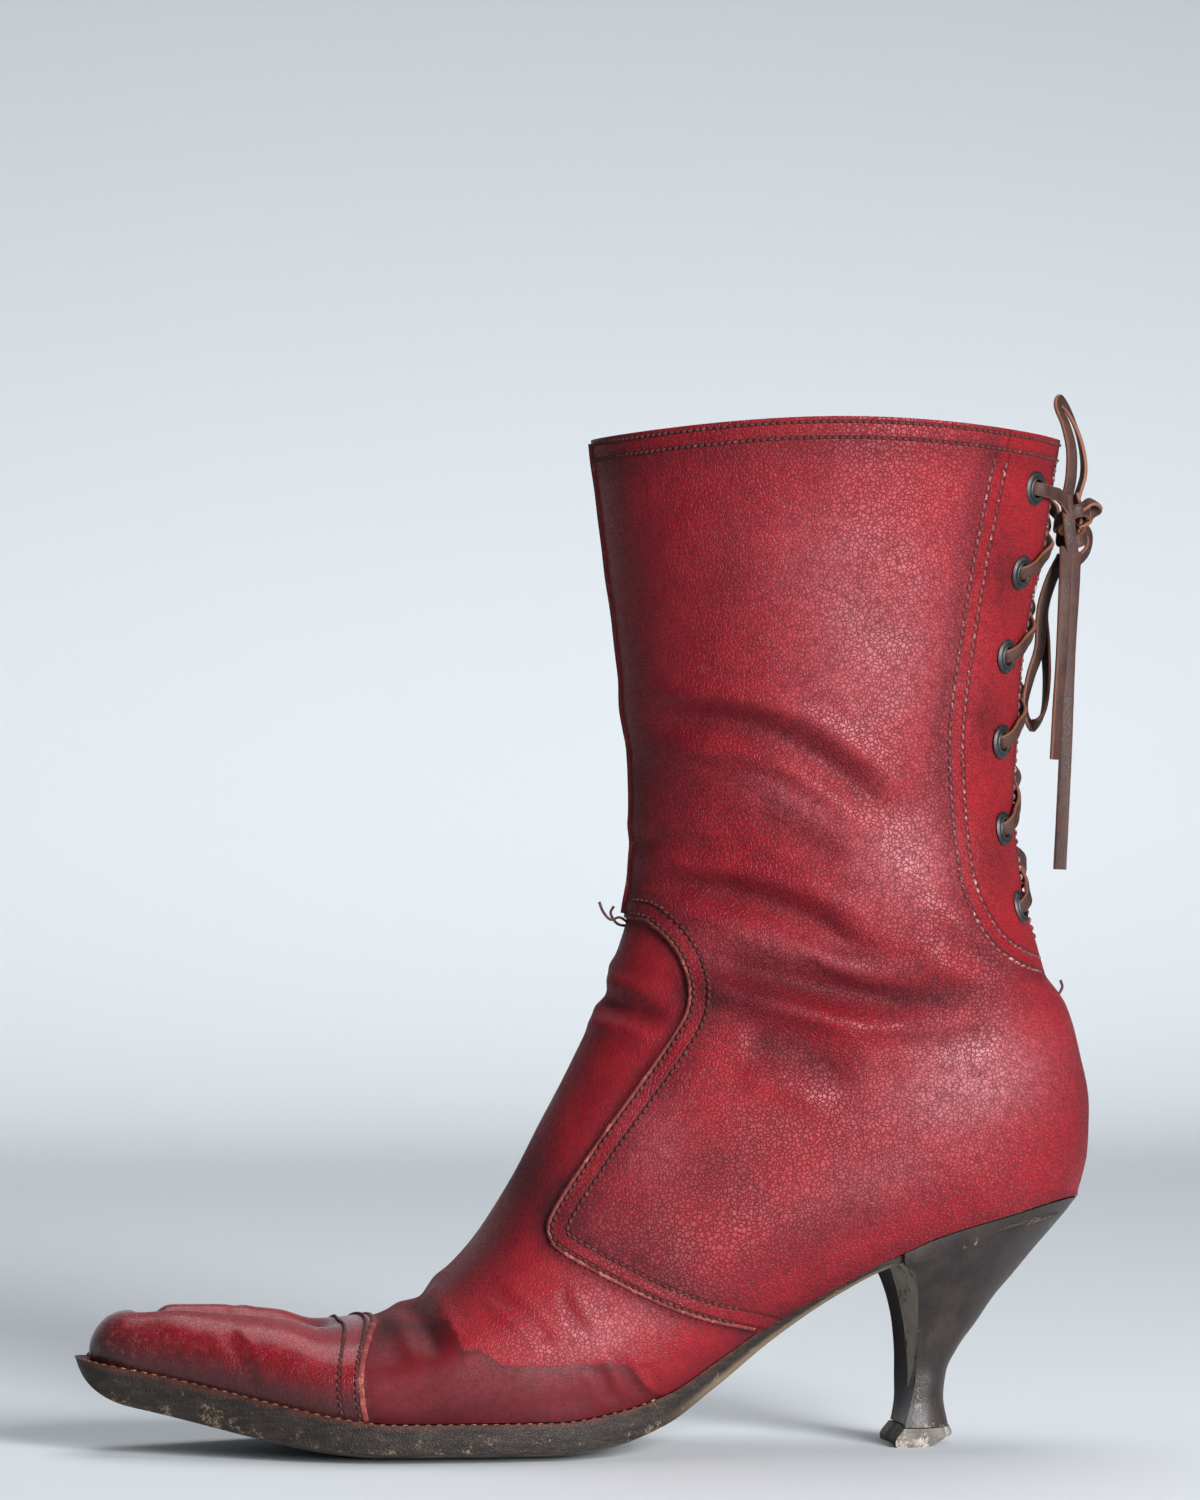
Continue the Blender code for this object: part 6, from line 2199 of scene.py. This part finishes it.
@dataclass
class Bottom:
    """Outsole and insole: rings across the boot, carried from the toe to the seat.

    Attributes:
        last: the boot's form.
        bench: where its pieces are made.
        sole_rows: sections of the outsole's nose, middle and seat.
        sock_rows: the same of the insole.
        welt_rows: the same of the stitches' lines.
        toe_margin: how far the sole stands out at its tip.
        toe_end: where the drawn-out toe begins.
        sole_nose: length over which the sole thins to its tip.
        nose_power: of the superellipse that it thins by.
        tread_flat: share of the half width over which the tread is flat.
        tread_power: how suddenly it then rounds up.
        sock_inset: of the insole from the upper's edge.
        sock_thickness: of the insole.
        stitched_to: where the sole's stitches end.
    """

    last: Last
    bench: Bench
    sole_rows: tuple[int, int, int] = (24, 210, 30)
    sock_rows: tuple[int, int, int] = (12, 110, 14)
    welt_rows: tuple[int, int, int] = (24, 200, 4)
    toe_margin: float = 5.0
    toe_end: float = -72.0
    sole_nose: float = 14.0
    nose_power: float = 2.2
    tread_flat: float = 0.45
    tread_power: float = 2.2
    sock_inset: float = 2.6
    sock_thickness: float = 1.6
    stitched_to: float = 16.0

    def halves(
        self, stations: Array, outset: Array, tip_outset: float
    ) -> tuple[Array, Array, dict[Side, Array]]:
        """Stations, middle line and half widths of a sole-shaped sheet.

        The toe's and the seat's stations are drawn out or in with the sheet.

        Args:
            stations: of the upper.
            outset: of the sheet from the upper's edge.
            tip_outset: of its tip.

        Returns:
            x, the middle's y, and the half width on each side.
        """
        span = self.toe_end - self.last.toe_tip
        toe = self.toe_end + (stations - self.toe_end) * (span + tip_outset) / span
        centre, radius = self.last.seat_centre, self.last.seat_radius
        seat = centre + (stations - centre) * (radius + outset) / radius
        x = np.where(stations < self.toe_end, toe, np.where(stations > centre, seat, stations))
        rounding = self.last.rounding(x - self.last.toe_tip + tip_outset)
        middle = column(FOOT, "ridge", stations)
        least = np.where(x < 100.0, self.last.tip_half_width + np.minimum(outset, 0.0), 0.5)
        widths = {}
        for side in Side:
            half = (self.last.foot_width(x, side, outset) - side.value * middle) * rounding
            widths[side] = np.maximum(half, least)
        return x, middle, widths

    def outsole(self) -> Patch:
        """The outsole: a flat top, an edge that bulges as a sine, and a tread that rounds up to it.

        A half ring runs from the middle of the top round to the middle of the tread. Down is 0 on the
        top, 1 at the foot of the edge and 2 on the tread.

        Returns:
            The outsole with down, and with where its leather is bare.
        """
        stations = self.last.stations(*self.sole_rows)[:-1]
        margin, bevel = column(SOLE, "margin", stations), column(SOLE, "bevel", stations)
        x, middle, wide = self.halves(stations, margin, self.toe_margin)
        low_x, _, narrow = self.halves(stations, margin - bevel, self.toe_margin - 0.6)
        thin = np.clip(1 - (x - self.last.toe_tip + self.toe_margin) / self.sole_nose, 0.0, 1.0)
        nose = (1 - thin**self.nose_power) ** (1 / self.nose_power)
        edge = np.maximum(column(SOLE, "edge", x) * nose, 0.8)[:, None]
        top, drop = column(SOLE, "top", x)[:, None], column(SOLE, "tread", x)[:, None]
        inner, fall, share = np.linspace(0, 1, 5), np.linspace(0, 1, 9)[1:], np.linspace(1, 0, 14)[1:]
        bulge = 0.35 * np.sin(math.pi * fall) - 0.2 * near(fall, 0.3, 0.07)
        rounding = np.clip((share - self.tread_flat) / (1 - self.tread_flat), 0.0, 1.0) ** self.tread_power
        tread = top - edge - drop * (1 - rounding)
        z = np.concatenate([np.repeat(top, len(inner), axis=1), top - edge * fall, tread], axis=1)
        to_low = np.concatenate([np.zeros(len(inner)), fall, np.ones(len(share))])
        px = x[:, None] * (1 - to_low) + low_x[:, None] * to_low
        halves = []
        for side in Side:
            half, foot = wide[side][:, None], narrow[side][:, None]
            y = np.concatenate([half * inner, half * (1 - fall) + foot * fall + bulge, foot * share], axis=1)
            halves.append(np.stack([px, middle[:, None] + side.value * y, z], axis=2))
        ring = np.concatenate([halves[0], halves[1][:, ::-1]], axis=1)
        down = np.concatenate([np.zeros(len(inner)), fall, 1.0 + np.minimum(1.0, 4.0 * (1 - share))])
        down = np.tile(np.concatenate([down, down[::-1]]), (len(x), 1))
        waist = step01((ring[..., 0] - 14.0) / 22.0) * step01((84.0 - ring[..., 0]) / 12.0)
        bare = waist * step01((down - 0.55) / 0.25) * step01((1.9 - down) / 0.3)
        return tube_patch(ring, {"down": down, "bare": 0.75 * bare})

    def insole(self) -> Patch:
        """The sock: a thin plate with a soft edge, a little dished.

        Returns:
            The sock as a patch.
        """
        stations = self.last.stations(*self.sock_rows)[:-1]
        x, middle, widths = self.halves(stations, np.full(len(stations), -self.sock_inset), -self.sock_inset)
        low = column(SOLE, "top", x) + self.last.gap
        share = np.array([0.0, 0.3, 0.6, 0.85, 0.97, 1.0, 0.98, 0.0])
        rise = np.array([0.9, 0.9, 0.92, 0.97, 1.0, 0.55, 0.0, 0.0]) * self.sock_thickness
        lateral, medial = (middle[:, None] + side.value * widths[side][:, None] * share for side in Side)
        y = np.concatenate([lateral[:, :-1], medial[:, ::-1][:, 1:]], axis=1)
        z = low[:, None] + np.concatenate([rise[:-1], rise[::-1][1:]])
        return tube_patch(np.stack([np.repeat(x[:, None], y.shape[1], axis=1), y, z], axis=2))

    def welt_trails(self) -> list[Trail]:
        """Lines on the sole's margin for its stitches, one on each side, round the forefoot.

        Returns:
            The two lines.
        """
        stations = self.last.stations(*self.welt_rows)
        stations = stations[stations < self.stitched_to]
        outset = column(SOLE, "margin", stations) - 1.0
        x, middle, widths = self.halves(stations, outset, self.toe_margin - 1.3)
        up = np.tile([0.0, 0.0, 1.0], (len(x), 1))
        top = column(SOLE, "top", x)
        return [Trail(np.stack([x, middle + s.value * widths[s], top], axis=1), up) for s in Side]

    def dress(self) -> None:
        """Makes the outsole, the insole and the sole's stitches."""
        self.bench.piece("sole_plate", self.outsole(), "sole_leather", Look.SOLE, node="outsole")
        self.bench.piece("sock", self.insole(), "sock_leather", Look.SOCK, node="insole")
        threads = Stitching(pitch=3.0, length=1.9, radius=0.34, lift=0.0, slant=0.3)
        rows = joined([threads.row(trail) for trail in self.welt_trails()])
        self.bench.piece("sole_stitches", rows, "sole_leather", Look.WELT_THREAD)


@dataclass
class HeelBlock:
    """The heel with its worn lift and the leather flap in its breast.

    Attributes:
        last: the boot's form.
        bench: where its pieces are made.
        seat_slope: lean of the heel's top.
        breast_turn: how far the breast is turned towards the medial side.
        lip_outset: of the lip round the seat, from the upper's edge.
        lip_width: of that lip.
        lip_seam: how far below the upper's foot it ends.
        lip_depth: how far its inner side goes down again.
        side_power: superellipse power of its sides.
        back_power: superellipse power of its back.
        arc_points: points of a ring's sides and back.
        breast_points: points of its breast, and the two corners.
        wear: how far the lift is worn away behind.
        flap_half_width: of the flap at its top.
        flap_length: of the flap.
        flap_thickness: of the flap.
        gap: between the flap and the breast.
    """

    last: Last
    bench: Bench
    seat_slope: float = 0.28
    breast_turn: float = 0.10
    lip_outset: float = 0.6
    lip_width: float = 2.2
    lip_seam: float = 0.8
    lip_depth: float = 3.2
    side_power: float = 3.0
    back_power: float = 2.2
    arc_points: int = 61
    breast_points: int = 26
    wear: float = 2.4
    flap_half_width: float = 14.0
    flap_length: float = 35.0
    flap_thickness: float = 1.0
    gap: float = 0.45

    def slope(self, back_z: Array) -> Array:
        """Lean of a level: none at the lift, the seat's at the top."""
        low, high = HEEL_LEVELS[0].back_z, HEEL_LEVELS[-1].back_z
        return self.seat_slope * np.maximum(0.0, (back_z - low) / (high - low)) ** 1.5

    def loops(self, levels: Sequence[Level], back_z: Array, slope: Array) -> Array:
        """Rings of a heel part: sides and back as half a superellipse, breast as a hollow arc.

        Args:
            levels: its table.
            back_z: height of each ring at the back.
            slope: lean of each ring.

        Returns:
            (rings, points, 3) coordinates.
        """
        back, front, half, hollow = (column(levels, name, back_z)[:, None] for name in Level._fields[1:])
        turn = np.linspace(-math.pi / 2, math.pi / 2, self.arc_points)
        x = front + (back - front) * np.cos(turn) ** (2 / self.side_power)
        y = half * np.sign(np.sin(turn)) * np.abs(np.sin(turn)) ** (2 / self.back_power)
        share = np.linspace(1, -1, self.breast_points)[1:-1]
        x = np.concatenate([x, front + hollow * (1 - share**2)], axis=1)
        y = np.concatenate([y, half * share], axis=1)
        return np.stack([x, y, back_z[:, None] + slope[:, None] * (x - back)], axis=2)

    def heel(self) -> Patch:
        """The heel block with its lip; its breast is turned, most of all at half its height.

        Returns:
            The heel, with how much each point is worn.
        """
        z = np.linspace(HEEL_LEVELS[0].back_z, HEEL_LEVELS[-1].back_z, 60)
        rings = self.loops(HEEL_LEVELS, z, self.slope(z))
        x, up = rings[..., 0], z[:, None]
        front, back = x.min(axis=1, keepdims=True), x.max(axis=1, keepdims=True)
        fore = (back - x) / (back - front) * step01((up - 5.0) / 16.0) * step01((66.0 - up) / 12.0)
        rings[..., 0] = x - self.breast_turn * rings[..., 1] * fore
        rings = np.concatenate([rings, self.lip(rings[-1])])
        worn = 0.15 + near(rings[..., 2], 5.5, 1.6) + ovals(rings[..., 0], rings[..., 2], HEEL_KNOCKS)
        return tube_patch(rings, {"worn": worn})

    def lip(self, ring: Array) -> Array:
        """Three rings over the heel's top one: its lip round the seat, outside, inside and down again.

        Behind the seat's centre a point moves out to the seat's circle, before it to the outline's
        width. The breast stays where it is.

        Args:
            ring: the heel's top ring.

        Returns:
            (3, points, 3) coordinates.
        """
        x, y = ring[:, 0], ring[:, 1]
        centre = self.last.seat_centre
        angle = np.arctan2(y, x - centre)
        wide = np.where(y < 0, *(self.last.foot_width(x, side) for side in Side))
        rings = []
        for inset, drop in ((0.0, 0.0), (self.lip_width, 0.0), (self.lip_width, self.lip_depth)):
            radius = self.last.seat_radius + self.lip_outset - inset
            side_y = np.sign(y) * (wide + self.lip_outset - inset)
            px = np.where(x > centre, centre + radius * np.cos(angle), x)
            py = np.where(x > centre, radius * np.sin(angle), side_y)
            rings.append(np.stack([px, py, self.last.foot_height(px) - self.lip_seam - drop], axis=1))
            rings[-1][self.arc_points :] = ring[self.arc_points :] + np.array([0.4 * len(rings), 0.0, 0.0])
        return np.stack(rings)

    def lift(self) -> Patch:
        """The top lift: a plate worn away behind, its lower edge frayed in and out as a sum of sines.

        Returns:
            The lift as a patch.
        """
        top = LIFT_LEVELS[-1].back_z
        rings = self.loops(LIFT_LEVELS, np.linspace(LIFT_LEVELS[0].back_z, top, 16), np.zeros(16))
        apart = rings - rings.mean(axis=1, keepdims=True)
        turn = np.arctan2(apart[..., 1], apart[..., 0])
        fray = 0.16 * np.sin(9 * turn) + 0.12 * np.sin(23 * turn + 1.0) + 0.08 * np.sin(41 * turn)
        rings[..., :2] += unit(apart)[..., :2] * (near(rings[..., 2], 0.0, 1.6) * (fray - 0.2))[..., None]
        rings[..., 2] += self.wear * step01((rings[..., 0] - 90.0) / 9.0) * (1 - rings[..., 2] / top)
        return tube_patch(rings)

    def flap(self) -> Patch:
        """The flap: a sheet that follows the breast's hollow and narrows downwards.

        Returns:
            The flap as a patch.
        """
        lean = self.slope(np.array([level.back_z for level in HEEL_LEVELS]))
        heights = [level.back_z + s * (level.front_x - level.back_x) for level, s in zip(HEEL_LEVELS, lean)]
        share = np.linspace(1, 0.02, 36)[:, None]
        z = heights[-1] - self.flap_length * share
        names = ("front_x", "hollow", "half_width")
        columns = ([getattr(level, name) for level in HEEL_LEVELS] for name in names)
        front, hollow, half = (smooth(z, heights, known) for known in columns)
        reach = np.maximum(np.minimum(self.flap_half_width * (1 - share) ** 0.85, 0.7 * half), 0.4)
        y = reach * np.linspace(-1, 1, 16)
        turned = self.breast_turn * y * step01((60.0 - z) / 12.0)
        x = front + hollow * (1 - (y / half) ** 2) - self.gap - turned
        back = np.stack([x, y, np.repeat(z, 16, axis=1)], axis=2)
        fore = back[:, ::-1] - np.array([self.flap_thickness, 0.0, 0.0])
        return tube_patch(np.concatenate([back, fore], axis=1))

    def dress(self) -> None:
        """Makes heel, lift and flap."""
        self.bench.piece("heel_block", self.heel(), "heel", Look.HEEL, node="heel")
        self.bench.piece("worn_lift", self.lift(), "top_lift", Look.LIFT, node="top_lift")
        self.bench.piece("breast_leather", self.flap(), "breast_leather", Look.FLAP, node="breast_flap")


# Studio


class Lamp(NamedTuple):
    """A soft light: its middle, width and height, watts, spread in degrees and what it looks at."""

    name: str
    place: Point
    size: tuple[float, float]
    power: float
    spread: float
    target: Point


@dataclass(frozen=True)
class Studio:
    """A pale paper bowl, soft lights and the camera.

    Attributes:
        camera_place: in millimetres.
        camera_look: the way it looks.
        lens: focal length, for a 36 mm sensor along the image's long side.
        paper: colour of the bowl.
        floor_radius: of its flat floor.
        bend: radius of the turn from floor to wall.
        wall_top: height of its wall.
        sky: colour of the world.
        sky_strength: of the world's light.
        lamps: the lights.
    """

    camera_place: Point = (-215.7, -1787.2, 188.2)
    camera_look: Point = (0.12187, 0.99255, 0.0)
    lens: float = 160.0
    paper: Colour = (0.595, 0.635, 0.67)
    floor_radius: float = 1500.0
    bend: float = 1800.0
    wall_top: float = 3200.0
    sky: Colour = (0.80, 0.88, 0.96)
    sky_strength: float = 0.05
    lamps: tuple[Lamp, ...] = (
        Lamp("key", (880.0, -1690.0, 640.0), (700.0, 1000.0), 28.0, 100.0, (0.0, 0.0, 120.0)),
        Lamp("overhead", (100.0, 750.0, 2100.0), (1600.0, 2000.0), 22.5, 160.0, (100.0, 800.0, 0.0)),
        Lamp("backdrop", (330.0, 1000.0, 1300.0), (1800.0, 500.0), 7.4, 90.0, (400.0, 2600.0, 100.0)),
    )

    def build(self) -> None:
        """Sets up bowl, camera, world and lights."""
        self.bowl()
        camera = bpy.data.cameras.new("photo")
        camera.lens = self.lens
        bpy.context.scene.camera = self.aimed("photo", camera, self.camera_place, Vector(self.camera_look))
        world = bpy.data.worlds.new("studio")
        bpy.context.scene.world = world
        world.use_nodes = True
        background = world.node_tree.nodes["Background"]
        background.inputs["Color"].default_value = (*self.sky, 1.0)
        background.inputs["Strength"].default_value = self.sky_strength
        for lamp in self.lamps:
            light = bpy.data.lights.new(lamp.name, "AREA")
            light.shape = "RECTANGLE"
            light.size, light.size_y = lamp.size[0] * MM, lamp.size[1] * MM
            light.energy = lamp.power
            light.spread = math.radians(lamp.spread)
            self.aimed(lamp.name, light, lamp.place, Vector(lamp.target) - Vector(lamp.place))
        bpy.context.scene.view_settings.view_transform = "Standard"

    @staticmethod
    def aimed(name: str, data: bpy.types.ID, place: Point, look: Vector) -> bpy.types.Object:
        """A camera or light set down and turned.

        Args:
            name: its name.
            data: the camera or light.
            place: where it stands, in millimetres.
            look: the way it looks.

        Returns:
            The new object.
        """
        made = bpy.data.objects.new(name, data)
        made.location = Vector(place) * MM
        made.rotation_euler = look.to_track_quat("-Z", "Y").to_euler()
        bpy.context.scene.collection.objects.link(made)
        return made

    def bowl(self) -> None:
        """A round paper bowl: a flat floor that turns up into a wall as a quarter circle, turned about Z."""
        turn = np.linspace(0, math.pi / 2, 16)
        wall = self.floor_radius + self.bend
        radius = np.concatenate([[1.0], self.floor_radius + self.bend * np.sin(turn), [wall]])
        z = np.concatenate([[0.0], self.bend - self.bend * np.cos(turn), [self.wall_top]])
        around = np.linspace(0, 2 * math.pi, 97)[:-1]
        level = np.repeat(z[:, None], len(around), axis=1)
        grid = np.stack([radius[:, None] * np.cos(around), radius[:, None] * np.sin(around), level], axis=2)
        index = numbered(grid)
        faces = grid_quads(np.hstack([index, index[:, :1]])).tolist()
        faces.append(index[0].tolist())
        mesh = bpy.data.meshes.new("paper_bowl")
        mesh.from_pydata((grid.reshape(-1, 3) * MM).tolist(), [], faces)
        mesh.shade_smooth()
        material = bpy.data.materials.new("pale paper")
        material.use_nodes = True
        shader = material.node_tree.nodes["Principled BSDF"]
        shader.inputs["Base Color"].default_value = (*self.paper, 1.0)
        shader.inputs["Roughness"].default_value = 0.75
        mesh.materials.append(material)
        bowl = bpy.data.objects.new("paper_bowl", mesh)
        bpy.context.scene.collection.objects.link(bowl)


def main() -> None:
    """Builds the boot's pieces in order, then the studio."""
    logging.basicConfig(level=logging.INFO, format="%(name)s %(message)s")
    bench = Bench(make_finishes(SharedEffects()))
    last = Last()
    eyelets = Eyelets(bench)
    upper = Upper(last, bench)
    upper.build(eyelets.centres())
    eyelets.seat(upper)
    upper.dress()
    eyelets.dress()
    Lacing(bench, Lace(), eyelets, upper).dress()
    Bottom(last, bench).dress()
    HeelBlock(last, bench).dress()
    Studio().build()


if __name__ == "__main__":
    main()
